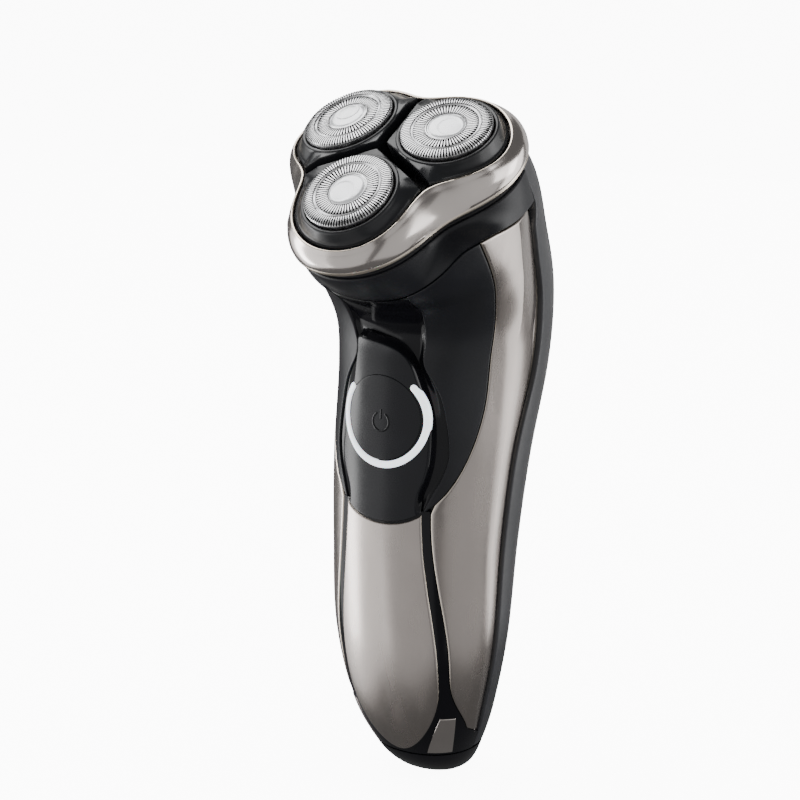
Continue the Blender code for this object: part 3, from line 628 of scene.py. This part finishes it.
def bottom_cap():
    """Rounded glossy end with the flat foot and the slot for the charging plug."""
    bm = bmesh.new()
    columns, levels = 96, [SPLIT * math.sin(math.pi / 2 * i / 22) for i in range(23)]

    def ring(u, level):
        return [skin(u, 360 * j / columns, level) for j in range(columns)]
    outer = [ring(u, 0.0) for u in levels]
    lip = [ring(SPLIT - 0.01, -d) for d in (0.25, WALL)]
    inner = [ring(max(u, 0.3), -WALL) for u in levels[::-1][1:]]
    for points in inner:
        for point in points:
            point.z = max(point.z, WALL)

    def slot_ring(level):
        points = []
        for j in range(columns):
            a = math.radians(360 * j / columns)
            x, y = SLOT_X * math.sin(a), -SLOT_Y * math.cos(a)
            x = math.copysign(min(abs(x) * 1.12, SLOT_X), x)
            points.append(Vector((x, y, level)) + FOOT)
        return points
    add_rings(bm, [slot_ring(z) for z in (WALL, 0.2, 0.0)] + outer + lip + inner, closed=True)
    return piece("end_cap", bm, "handle", ["bottom_cap"], [use("gloss")])


def highlight_rim_pick(tree_rows, edge):
    """Material index 1, a lighter plating that paints a highlight on the rolled edge, for the
    outermost faces of a grid.
    """
    last_row, last_column = len(tree_rows) - 2, len(tree_rows[0]) - 2

    def pick(i, j):
        return int(i < edge or j < edge or i > last_row - edge or j > last_column - edge)
    return pick


def centre_plate():
    """Long plate below the pad, with its lower end round and its upper end cut to the panel's U."""
    bm = bmesh.new()
    wide = plate_angle(PLATE_WIDEST_Z)

    def low_z(share):
        low, high = PLATE_BOTTOM_Z, PLATE_WIDEST_Z
        for _ in range(30):
            middle = (low + high) / 2
            low, high = (middle, high) if plate_angle(middle) < abs(share) * wide else (low, middle)
        return low
    shares = [2 * s - 1 for s in crowded(64)]
    bottoms = [low_z(s * 0.9999) for s in shares]
    rows = []
    for t in crowded(110):
        row = []
        for s, bottom in zip(shares, bottoms):
            top = panel_low_z(s * 24.6) - SEAM
            z = bottom + (top - bottom) * t
            row.append((station_at(z), s * plate_angle(max(z, PLATE_WIDEST_Z))))
        rows.append(row)
    # painted highlight: the rolled rim faces of the plate take the lighter plating
    rolled_plate(bm, rows, 0.12, -SKIN, 0.55, highlight_rim_pick(rows, 4))
    return piece("tongue_plate", bm, "handle", ["centre_plate"],
                 [use("plate"), use("rim")])


FLANK_LINE = ((13.0, 80.0), (18.0, 76.5), (29.0, 75.0), (49.0, 75.0), (61.0, 74.0), (107.0, 74.0),
              (113.0, 77.0), (118.0, 80.0), (124.0, 84.0), (130.0, 86.0), (142.0, 92.0))


def flank_level(u, angle):
    """Height of the flank plate: its outer strip falls away from a crisp line."""
    return -0.075 * max(abs(angle) - along(FLANK_LINE, height_of(u)), 0.0)


def up_to_neck(start, first, share, angle_at, s):
    """(u, angle) at a share of the way from a station up to the neck's edge."""
    u = start + (first - start) * share
    for _ in range(3):
        angle = angle_at(u, s)
        u = start + (neck_station(angle) - 0.03 - start) * share
    return u, angle


def side_plate(name, side):
    """Flank plate from the tip beside the end cap to the neck."""
    bm = bmesh.new()
    broad = 0.7                # share of the plate's width before its crisp line

    def angle_at(u, s):
        z = height_of(u)
        left = max(flank_start(u) if z < 74.0 else 0.0, panel_angle(z) + 0.55)
        right = parting_angle(u) - 0.25
        line = min(along(FLANK_LINE, z), right - 0.3)
        if s < broad:
            return left + (line - left) * s / broad
        return line + (right - line) * (s - broad) / (1 - broad)
    shares = ([broad * s for s in crowded(28)]
              + [broad + (1 - broad) * s for s in crowded(16)[1:]])
    bottom = station_at(SIDE_BOTTOM_Z)
    places = [[up_to_neck(bottom, 10.2, t, angle_at, s) for s in shares] for t in crowded(130)]
    rows = [[(u, side * a) for u, a in row] for row in places]
    # painted highlight: the rolled rim faces of the flank plate take the lighter plating
    rolled_plate(bm, rows, flank_level, -SKIN, 0.5, highlight_rim_pick(rows, 3))
    return piece(name + "_flank", bm, "handle", [name],
                 [use("plate"), use("rim")])


def top_panel():
    """Two satin wings outside the glossy channel, and the channel's floor between them."""
    bm = bmesh.new()
    start = station_at(WING_TIP_Z)

    def angle_at(u, s):
        inner = along(CHANNEL_EDGE, height_of(u))
        return inner + max(panel_angle(height_of(u)) - inner, 0.05) * s
    wing = [[up_to_neck(start, 10.0, t, angle_at, s) for s in crowded(34)] for t in crowded(90)]
    for side in (1, -1):
        rolled_plate(bm, [[(u, side * a) for u, a in row] for row in wing], 0.0, -SKIN - 0.1, 0.3)
    rows = []
    for t in even(80):
        row = []
        for s in even(48):
            guess = start
            for _ in range(3):
                angle = (2 * s - 1) * (along(CHANNEL_EDGE, height_of(guess)) + 0.6)
                guess = start - 0.02 + (neck_station(angle) - 0.03 - start) * t
            row.append((guess, angle))
        rows.append(row)

    def floor(u, a):
        wall = smooth_step(0.75, 1.0, abs(a) / (along(CHANNEL_EDGE, height_of(u)) + 0.6))
        neck = smooth_step(119.0, 126.0, height_of(u))
        return -CHANNEL_DEPTH + max(0.75 * wall ** 2, 1.1 * neck)
    outer = [[skin(u, a, floor(u, a)) for u, a in row] for row in rows]
    add_grid(bm, outer, laid(rows, -CHANNEL_DEPTH - 0.25), lambda i, j: 1)
    return piece("panel_skin", bm, "handle", ["top_panel"],
                 [use("matte"), use("gloss")])


def control_pad():
    """Raised shield round the button: satin on top, with glossy sloping walls."""
    bm = bmesh.new()
    wall = 1.5
    columns, rows, flags = 72, [], []
    for t in crowded(110):
        row = []
        for s in crowded(columns):
            share = 2 * s - 1
            bottom = panel_low_z(share * 24.0) + SEAM
            z = bottom + (PAD_TOP_Z - bottom) * t
            left, right = along(PAD_LEFT, z), along(PAD_RIGHT, z)
            row.append((station_at(z), left + (right - left) * s))
        rows.append(row)
    rim = [(station_at(PAD_TOP_Z), a / 4) for a in range(-52, -39)]
    for edge in (PAD_LEFT, PAD_RIGHT):
        rim += [(station_at(z / 10), along(edge, z / 10)) for z in range(700, 1171)]
    tree = KDTree(len(rim))
    for k, (u, a) in enumerate(rim):
        tree.insert(surface(u, a), k)
    tree.balance()
    foot = outline_tree(rows)

    def lift(u, a):
        z = height_of(u)
        near = tree.find(surface(u, a))[2]
        share = smooth_step(0.0, wall, near)
        share = 1 - (1 - share) * smooth_step(68.5, 74.0, z)
        edge = foot.find(surface(u, a))[2]
        return skin(u, a, -CHANNEL_DEPTH + 0.2 + (pad_rise(z) + CHANNEL_DEPTH - 0.2) * share
                    - roll_drop(edge, 0.3))
    for row in rows:
        flags.append([tree.find(surface(u, a))[2] < wall * 0.9 and height_of(u) > 70.5
                      for u, a in row])
    outer = [[lift(u, a) for u, a in row] for row in rows]
    add_grid(bm, outer, laid(rows, -CHANNEL_DEPTH - 0.1),
             lambda i, j: int(flags[i][j] and flags[i + 1][j + 1]))
    made = piece("pad_shield", bm, "handle", ["control_pad"],
                 [use("pad"), use("gloss")])
    hole = bmesh.new()
    turns = [math.tau * k / 128 for k in range(128)]
    add_rings(hole, [[Vector((HOLE_R * math.cos(a), y, BUTTON_Z + HOLE_R * math.sin(a)))
                      for a in turns] for y in (-40.0, 0.0)])
    cut_out(made, hole)
    return made


def cut_out(target, bm):
    """Cut a millimetre bmesh out of a piece and keep the result as its mesh."""
    tool = placed("tool", mesh_of("tool", bm))
    modifier = target.modifiers.new("cut", "BOOLEAN")
    modifier.operation, modifier.object, modifier.solver = "DIFFERENCE", tool, "EXACT"
    shape = target.evaluated_get(bpy.context.evaluated_depsgraph_get())
    result = bpy.data.meshes.new_from_object(shape)
    target.modifiers.remove(modifier)
    target.data = result
    result.set_sharp_from_angle(angle=math.radians(40.0))
    bpy.data.objects.remove(tool)


def power_button():
    """Round thumb button that carries on the pad's surface."""
    bm = bmesh.new()
    columns = 96
    radii = [BUTTON_R * math.sin(math.pi / 2 * k / 26) for k in range(1, 27)]

    def ring(radius, drop):
        points = []
        for j in range(columns):
            a = math.tau * j / columns
            z = BUTTON_Z + radius * math.sin(a)
            points.append(front_at(radius * math.cos(a), z, pad_rise(z) - drop))
        return points
    top = [ring(r, roll_drop(BUTTON_R - r, 0.12)) for r in radii]
    add_rings(bm, top + [ring(r, BUTTON_THICK) for r in (BUTTON_R, BUTTON_R * 0.05)])
    return piece("thumb_button", bm, "button", ["power_button"], [use("pad")])


def facing(x, z):
    """How squarely the front skin faces the button's direction at (x, z)."""
    step = front_at(x + 0.2, z, 0.0) - front_at(x - 0.2, z, 0.0)
    return step.x / step.length


def sweep(bm, path, half, rise, base, index=0, sides=10):
    """Half-round bead along a path of (x, z) pairs on the button's face, with round ends."""
    lengths = [0.0]
    for (x0, z0), (x1, z1) in zip(path, path[1:]):
        lengths.append(lengths[-1] + math.hypot(x1 - x0, z1 - z0))
    rings = []
    for k, (x, z) in enumerate(path):
        before, after = path[max(k - 1, 0)], path[min(k + 1, len(path) - 1)]
        dx, dz = after[0] - before[0], after[1] - before[1]
        size = math.hypot(dx, dz)
        across = (-dz / size * facing(x, z), dx / size)
        end = min(lengths[k], lengths[-1] - lengths[k])
        share = math.sqrt(max(1 - (1 - min(end / half, 1.0)) ** 2, 0.0004))
        ring = []
        for i in range(sides + 1):
            a = math.pi * i / sides
            w = half * share * math.cos(a)
            ring.append(front_at(x + across[0] * w, z + across[1] * w,
                                 base(z) + rise * share * math.sin(a) ** 0.8))
        low = [front_at(x + across[0] * w, z + across[1] * w, base(z) - 0.5)
               for w in (-half * share, half * share)]
        rings.append(ring + low)
    add_rings(bm, rings, index=index)


def fine_path(half, length):
    """Shares of a bead's length that crowd near its round ends, which are half wide."""
    end = half / length
    near = [end * step for step in (0, 0.02, 0.06, 0.13, 0.25, 0.45, 0.7, 1.0)]
    return sorted({round(t, 6) for t in near} | {round(1 - t, 6) for t in near}
                  | {i / 90 for i in range(1, 90) if end < i / 90 < 1 - end})


def light_ring():
    """C-shaped light guide round the button."""
    bm = bmesh.new()
    start, end = (math.radians(a) for a in RING_ENDS)
    path = []
    for t in fine_path(RING_HALF, RING_R * (end - start)):
        a = start + (end - start) * t
        path.append((RING_X + RING_R * math.cos(a), BUTTON_Z + RING_R * math.sin(a)))
    sweep(bm, path, RING_HALF, 0.5, lambda z: pad_rise(z) - 0.06, sides=12)
    return piece("ring_guide", bm, "handle", ["light_ring"], [use("light")])


def power_sign():
    """Thin raised standby sign on the button: a broken circle with a bar."""
    bm = bmesh.new()
    radius, half, low = 2.1, 0.27, BUTTON_Z - 0.9

    def base(z):
        return pad_rise(z) - 0.05
    start, turn = math.radians(90 + 26), math.radians(360 - 52)
    path = [(radius * math.cos(start + turn * t), low + radius * math.sin(start + turn * t))
            for t in fine_path(half, radius * turn)]
    sweep(bm, path, half, 0.2, base, sides=6)
    bar = [(0.0, low + 0.5 + 2.4 * t) for t in fine_path(half, 2.4)]
    sweep(bm, bar, half, 0.2, base, sides=6)
    return piece("standby_sign", bm, "button", [], [use("gloss")])


# ---- head skins -------------------------------------------------------------------------------
def lobed(mean, wave, second, phi):
    a = 3 * (phi + math.pi / 2)
    return mean + wave * math.cos(a) + second * math.cos(2 * a)


def trim_low_r(phi):
    return lobed(26.9, 3.9, -0.4, phi)


def trim_top_r(phi):
    return lobed(24.2, 4.6, -0.7, phi)


def trim_top_n(phi):
    return lobed(-4.0, -1.4, 0.0, phi)


def polar(radius, phi, n):
    return head_point(radius * math.cos(phi), radius * math.sin(phi), n)


def collar():
    """Black band between the trim ring and the handle: a dark step, a flared face and a lip."""
    bm = bmesh.new()
    columns = 170
    rings = []
    for j in range(columns + 1):
        angle = -COLLAR_REACH + 2 * COLLAR_REACH * j / columns
        edge = surface(neck_station(angle), angle)
        x, v, n = head_coords(edge)
        r_low, phi = math.hypot(x, v), math.atan2(v, x)
        r_top = trim_low_r(phi) - 2.6
        step_n = JOINT_N - 1.9
        profile = [(r_top, JOINT_N - 0.35), (r_top, step_n + 0.25), (r_top + 0.25, step_n),
                   (r_top + 0.9, step_n - 0.05), (r_top + 1.15, step_n - 0.3)]
        bulge = r_top + 1.15
        for k in range(1, 9):
            t = k / 9
            curve = t ** 1.25 if r_low < bulge else t ** 1.6
            profile.append((bulge + (r_low + 0.15 - bulge) * curve,
                            step_n - 0.3 + (n + 0.55 - step_n + 0.3) * t))
        profile += [(r_low + 0.15, n + 0.4), (r_low - 0.15, n + 0.12), (r_low - 0.6, n + 0.05),
                    (r_low - 2.2, n + 0.05), (min(r_low, r_top) - 2.2, step_n - 1.5),
                    (r_top - 1.4, JOINT_N - 0.35)]
        rings.append([polar(r, phi, h) for r, h in profile])
    add_rings(bm, rings)
    return piece("collar_band", bm, "handle", ["collar"], [use("matte")], sharp=32)


def trim_ring():
    """Plated three-lobed ring with a soft belly, a fine upper lip and a lower lip; both lips carry
    a lighter plating as a painted highlight.
    """
    bm = bmesh.new()
    columns = 240
    rings = []
    for j in range(columns):
        phi = -math.pi + math.tau * j / columns
        top_r, top_n, low_r = trim_top_r(phi), trim_top_n(phi), trim_low_r(phi)
        profile = [(low_r - 1.9, JOINT_N + 0.35), (low_r - 0.55, JOINT_N + 0.35),
                   (low_r - 0.2, JOINT_N + 0.5), (low_r - 0.1, JOINT_N + 0.85),
                   (low_r - 0.22, JOINT_N + 1.25), (low_r - 0.05, JOINT_N + 1.4)]
        for k in range(1, 12):
            t = k / 12
            belly = math.sin(math.pi * t) * 0.85
            profile.append((low_r + (top_r - low_r) * t + belly * 0.8,
                            JOINT_N + 1.4 + (top_n - 0.25 - JOINT_N - 1.4) * t + belly * 0.25))
        profile += [(top_r + 0.03, top_n - 0.12), (top_r - 0.1, top_n), (top_r - 0.45, top_n),
                    (top_r - 0.6, top_n - 0.12), (top_r - 0.65, top_n - 0.5),
                    (low_r - 2.0, -8.2)]
        rings.append([polar(r, phi, n) for r, n in profile])
    add_rings(bm, rings, closed=True)
    # painted highlight: faces of both lips take the lighter plating
    highlight_lips = {0, 1, 2, 3, 17, 18, 19, 20}
    bm.faces.ensure_lookup_table()
    per_ring = len(rings[0])
    for k, face in enumerate(bm.faces):
        face.material_index = int(k % per_ring in highlight_lips)
    return piece("lobed_trim", bm, "lid", ["trim_ring"],
                 [use("trim"), use("rim")], sharp=50)


class HeadUnit:
    """Frame of one cutting unit: outward, tangent and axis directions at the cap's centre."""

    def __init__(self, turn):
        a = math.radians(turn)
        self.outward = Vector((math.sin(a), 0, 0)) - UPHILL * math.cos(a)
        self.tangent = Vector((math.cos(a), 0, 0)) + UPHILL * math.sin(a)
        self.centre = HEAD_CENTRE + self.outward * CUTTER_RADIUS
        self.axis = self.outward * math.sin(CUTTER_TILT) + HEAD_AXIS * math.cos(CUTTER_TILT)
        self.out = self.tangent.cross(self.axis)

    def flat(self, radius, angle):
        """Point at a radius and an angle in the head's own plane through the cap's centre."""
        return (self.centre + self.outward * (radius * math.cos(angle))
                + self.tangent * (radius * math.sin(angle)))

    def at(self, radius, angle, height):
        return (self.centre + self.out * (radius * math.cos(angle))
                + self.tangent * (radius * math.sin(angle)) + self.axis * height)


def sector_reach(unit, angle, shrink):
    """How far a sector reaches from its cap's axis, and whether it ends at the outer edge."""
    low, high = 5.0, 30.0
    outer = True
    for _ in range(26):
        r = (low + high) / 2
        p = unit.flat(r, angle)
        d = p - HEAD_CENTRE
        o, t = d.dot(unit.outward), d.dot(unit.tangent)
        x, v, _ = head_coords(p)
        phi = math.atan2(v, x)
        groove = (o * math.sin(math.radians(60)) - abs(t) * math.cos(math.radians(60))
                  - GROOVE / 2 - shrink)
        rim = trim_top_r(phi) - 1.15 - shrink - math.hypot(x, v)
        low, high = (r, high) if groove > 0 and rim > 0 else (low, r)
        outer = rim < groove
    return low, outer


def cutter_holder(name, turn):
    """Black sector of the deck: a lip round the cap's well, a flat deck and a sloping shoulder."""
    unit = HeadUnit(turn)
    bm = bmesh.new()
    columns, well = 200, CAP_R + 0.28
    angles = [math.tau * j / columns for j in range(columns)]
    reach = [sector_reach(unit, a, 0.0) for a in angles]
    ends = []
    for a, (r, outer) in zip(angles, reach):
        p = unit.flat(r, a)
        x, v, _ = head_coords(p)
        rim_n = trim_top_n(math.atan2(v, x)) - 0.1
        flat = (unit.at(r, a, -1.25) - HEAD_CENTRE).dot(HEAD_AXIS)
        ends.append(rim_n if outer else flat)
    width = 5
    soft = [sum(ends[(j + k) % columns] for k in range(-width, width + 1)) / (2 * width + 1)
            for j in range(columns)]
    lip = [(0.0, -4.2), (0.0, -1.5), (0.12, -1.12), (0.4, -1.0), (0.75, -1.05), (0.95, -1.25)]
    grid = []
    for j, a in enumerate(angles):
        r_end = reach[j][0]
        column = [unit.at(well + d, a, h) for d, h in lip]
        start = unit.at(well + lip[-1][0], a, lip[-1][1])
        foot = unit.flat(r_end, a) - HEAD_CENTRE
        foot = HEAD_CENTRE + foot - HEAD_AXIS * foot.dot(HEAD_AXIS)
        level = (start - HEAD_CENTRE).dot(HEAD_AXIS)
        flat_start = start - HEAD_AXIS * level
        span = (foot - flat_start).length
        for k in range(1, 13):
            t = k / 12
            reachable = max(span - 0.35, 0.0) / max(span, 0.001) * t
            drop = smooth_step(-0.2, 1.0, t) if reach[j][1] else t
            h = level + (soft[j] - level) * (drop * 0.92 if soft[j] < level - 1.5 else t)
            column.append(flat_start.lerp(foot, reachable) + HEAD_AXIS * h)
        last = soft[j] if soft[j] >= level - 1.5 else level + (soft[j] - level) * 0.92
        column.append(flat_start.lerp(foot, 1 - 0.1 / max(span, 0.2)) + HEAD_AXIS * (last - 0.12))
        column.append(foot + HEAD_AXIS * (last - 0.4))
        column.append(foot + HEAD_AXIS * -7.6)
        inside = unit.at(well + 0.6, a, 0)
        column.append(inside - HEAD_AXIS * ((inside - HEAD_CENTRE).dot(HEAD_AXIS) + 7.6))
        grid.append(column)
    add_rings(bm, grid, closed=True)
    return piece("sector_" + name, bm, "holder_" + name, ["cutter_holder_" + name],
                 [use("deck")], sharp=38)


def add_slotted_ring(bm, unit, low_r, high_r, top, depth, slots, rim_drop):
    """Ring of bars and slots; the rim drops at both radii and every slot is a real groove."""
    radii = [low_r, low_r + 0.18, (low_r + high_r) / 2, high_r - 0.18, high_r]
    heights = [top(r) - (rim_drop if r in (low_r, high_r) else 0.0) for r in radii]
    bar = 0.42
    first = previous = None
    for k in range(slots):
        start = math.tau * k / slots
        for share, low in ((0.0, False), (bar, False), (bar + 0.001, True), (0.999, True)):
            a = start + math.tau / slots * share
            column = [bm.verts.new(unit.at(r, a, h - (depth if low else 0.0)))
                      for r, h in zip(radii, heights)]
            if previous:
                add_strip(bm, previous[0], column, int(low or previous[1]))
            else:
                first = column
            previous = (column, low)
    add_strip(bm, previous[0], first, 1)


def add_strip(bm, left, right, index):
    for a, b, c, d in zip(left, left[1:], right[1:], right):
        bm.faces.new((a, b, c, d)).material_index = index


def guard_cap(name, turn):
    """Steel cap: inner and outer ring of radial slots with a smooth track between them."""
    unit = HeadUnit(turn)
    bm = bmesh.new()

    def outer_top(r):
        return 0.34 - 0.5 * max(r - 9.1, 0.0) ** 2

    add_slotted_ring(bm, unit, 7.75, CAP_R, outer_top, 0.42, OUTER_SLOTS, 0.16)
    add_slotted_ring(bm, unit, 4.5, 7.2, lambda r: 0.3, 0.38, INNER_SLOTS, 0.1)
    columns = 120

    def turned_band(profile, index=0):
        rings = [[unit.at(r, math.tau * j / columns, h) for j in range(columns)]
                 for r, h in profile]
        add_rings(bm, rings, closed=True, index=index)
    edge = outer_top(CAP_R)
    turned_band([(CAP_R + 0.08, edge - 0.5), (CAP_R + 0.08, edge - 0.2), (CAP_R - 0.1, edge - 0.1),
                 (CAP_R - 0.25, edge - 0.35), (CAP_R - 0.4, edge - 0.6), (CAP_R - 0.35, -3.6),
                 (CAP_R, -3.6)])
    turned_band([(7.15, -0.3), (7.15, 0.18), (7.22, 0.24), (7.3, 0.1), (7.45, -0.12), (7.6, 0.1),
                 (7.68, 0.24), (7.78, 0.18), (7.78, -0.3)])
    turned_band([(4.2, -0.5), (CAP_R - 0.3, -0.5), (CAP_R - 0.3, -0.3), (4.2, -0.3)], 1)
    turned_band([(4.25, -0.3), (4.25, 0.26), (4.4, 0.36), (4.6, 0.3), (4.6, -0.3)])
    return piece("slotted_cap_" + name, bm, "cap_" + name, ["guard_cap_" + name],
                 [use("steel"), use("slot")], sharp=30, weld=0.0005)


def cap_disc(name, turn):
    """Pearl disc in the cap's middle with a shallow crescent-shaped step."""
    unit = HeadUnit(turn)
    bm = bmesh.new()
    columns = 72

    def relief(r, a):
        x, y = r * math.cos(a), r * math.sin(a)
        inside = math.hypot(x - 0.9, y + 0.7)
        return 0.13 * smooth_step(2.5, 2.9, inside) - 0.05 * (inside < 2.7) * (1 - inside / 2.7)
    radii = [4.22 * math.sin(math.pi / 2 * k / 20) for k in range(1, 21)]
    rings = []
    for r in radii:
        dome = 0.55 - 0.35 * (r / 4.22) ** 3
        rings.append([unit.at(r, math.tau * j / columns, dome + relief(r, math.tau * j / columns)
                              * (1 - smooth_step(3.5, 4.1, r))) for j in range(columns)])
    rings += [[unit.at(r, math.tau * j / columns, h) for j in range(columns)]
              for r, h in ((4.22, -0.4), (3.2, -0.7), (0.2, -0.7))]
    add_rings(bm, rings)
    return piece("pearl_disc_" + name, bm, "cap_" + name, ["cap_disc_" + name],
                 [use("pearl")], sharp=50)


# ---- CAD nodes that stay ------------------------------------------------------------------------
def three(name):
    return [name + "_" + unit for unit, turn in HEADS]


KEPT = {
    "matte": ["retaining_knob"],
    "deck": ["head_frame", "hinge_bridge"],
    "dark": ["hair_chamber"],
    "gloss": ["charge_inlet"],
    "blade": three("rotary_cutter"),
    "steel": ["hinge_pin"] + three("spindle_spring"),
    "can": ["motor"],
    "nylon": three("drive_gear") + three("drive_spindle")
    + ["gear_plate", "retaining_frame", "tact_switch"],
    "brass": ["motor_pinion", "inlet_pin_left", "inlet_pin_right"],
    "green": ["circuit_board"],
    "wrap": ["battery"],
}


def dress_kept_nodes():
    for key, names in KEPT.items():
        for name in names:
            node = frame["nodes"][name]
            node.data.materials.clear()
            node.data.materials.append(use(key))


# ---- stage ------------------------------------------------------------------------------------
SKY_LIGHT = 1.0                # how strongly the surroundings light the object
SKY_SEEN = 9.8                 # added where the backdrop itself is seen
SKY_MIRRORED = -0.88           # added in reflections, which keeps the blacks deep


def stage():
    """Pale floor that fills the view, and the bright surroundings that light the object softly."""
    bm = bmesh.new()
    bmesh.ops.create_circle(bm, cap_ends=True, segments=96, radius=9.0)
    mesh = bpy.data.meshes.new("studio_floor")
    bm.to_mesh(mesh)
    bm.free()
    floor = placed("studio_floor", mesh)
    floor.location.z = cad_box[0][2] - 0.0002
    pale = Nodes("pale_floor")
    pale.colours(pale.noise(3.0), (0.3, (0.86, 0.86, 0.86)), (0.7, (0.89, 0.89, 0.89)))
    pale.set(Roughness=0.7, Emission_Strength=10.0)
    pale.shader.inputs["Emission Color"].default_value = (1.0, 1.0, 1.0, 1.0)
    mesh.materials.append(pale.mat)
    floor.visible_glossy = floor.visible_diffuse = floor.visible_shadow = False
    world = bpy.data.worlds.new("studio")
    bpy.context.scene.world = world
    world.use_nodes = True
    nodes, links = world.node_tree.nodes, world.node_tree.links
    path = nodes.new("ShaderNodeLightPath")
    last = None
    for ray, factor in (("Is Camera Ray", SKY_SEEN), ("Is Glossy Ray", SKY_MIRRORED)):
        made = nodes.new("ShaderNodeMath")
        made.operation = "MULTIPLY_ADD"
        made.inputs[1].default_value, made.inputs[2].default_value = factor, SKY_LIGHT
        links.new(path.outputs[ray], made.inputs[0])
        if last:
            links.new(last, made.inputs[2])
        last = made.outputs["Value"]
    links.new(last, nodes["Background"].inputs["Strength"])
    nodes["Background"].inputs["Color"].default_value = (1.0, 1.0, 1.0, 1.0)
    world.cycles.sampling_method = "NONE"


def card(name, azimuth, elevation, width, height, radiance, distance=0.8):
    """Soft rectangular light at an azimuth (0 = the object's front) and elevation in degrees."""
    az, el = math.radians(azimuth), math.radians(elevation)
    toward = Vector((math.sin(az) * math.cos(el), -math.cos(az) * math.cos(el), math.sin(el)))
    data = bpy.data.lights.new(name, "AREA")
    data.shape, data.size, data.size_y = "RECTANGLE", width, height
    data.energy = radiance * math.pi * width * height
    made = placed(name, data)
    middle = (Vector(cad_box[0]) + Vector(cad_box[1])) / 2
    made.location = middle + toward * distance
    made.rotation_euler = (-toward).to_track_quat("-Z", "Y").to_euler()
    made.visible_camera = False


def lights():
    card("left_core", -68, -4, 0.24, 0.80, 6.5)
    card("left_wide", -64, -8, 1.12, 1.05, 1.15, 0.85)
    card("front_left", -4, -10, 0.92, 1.10, 0.44, 0.85)
    card("front_right", 70, -6, 1.00, 1.10, 0.38, 0.85)
    card("right_core", 130, 2, 0.62, 0.90, 2.0)
    card("right_high", 105, 18, 0.64, 0.60, 2.0)
    card("top_soft", -99, 60, 0.60, 0.60, 4.2)
    card("back_soft", 195, 5, 0.90, 0.90, 0.5)


CAMERA_AZIMUTH = math.radians(33.8)
CAMERA_PITCH = math.radians(15.43)
CAMERA_DISTANCE = 0.5367
CAMERA_AIM = Vector((0.0, -0.0071, 0.0127))        # from the middle of the object's box
CAMERA_LENS = 108.0


def camera():
    data = bpy.data.cameras.new("camera")
    data.lens, data.sensor_width = CAMERA_LENS, 36.0
    data.clip_start, data.clip_end = 0.01, 40.0
    made = placed("camera", data)
    target = (Vector(cad_box[0]) + Vector(cad_box[1])) / 2 + CAMERA_AIM
    back = Vector((math.sin(CAMERA_AZIMUTH) * math.cos(CAMERA_PITCH),
                   -math.cos(CAMERA_AZIMUTH) * math.cos(CAMERA_PITCH), math.sin(CAMERA_PITCH)))
    made.location = target + back * CAMERA_DISTANCE
    made.rotation_euler = (-back).to_track_quat("-Z", "Y").to_euler()
    bpy.context.scene.camera = made


# ---- build ------------------------------------------------------------------------------------
camera()
stage()
lights()
rear_housing()
front_housing()
bottom_cap()
centre_plate()
side_plate("side_plate_right", 1)
side_plate("side_plate_left", -1)
top_panel()
control_pad()
power_button()
light_ring()
power_sign()
collar()
trim_ring()
for unit_name, unit_turn in HEADS:
    cutter_holder(unit_name, unit_turn)
    guard_cap(unit_name, unit_turn)
    cap_disc(unit_name, unit_turn)
dress_kept_nodes()
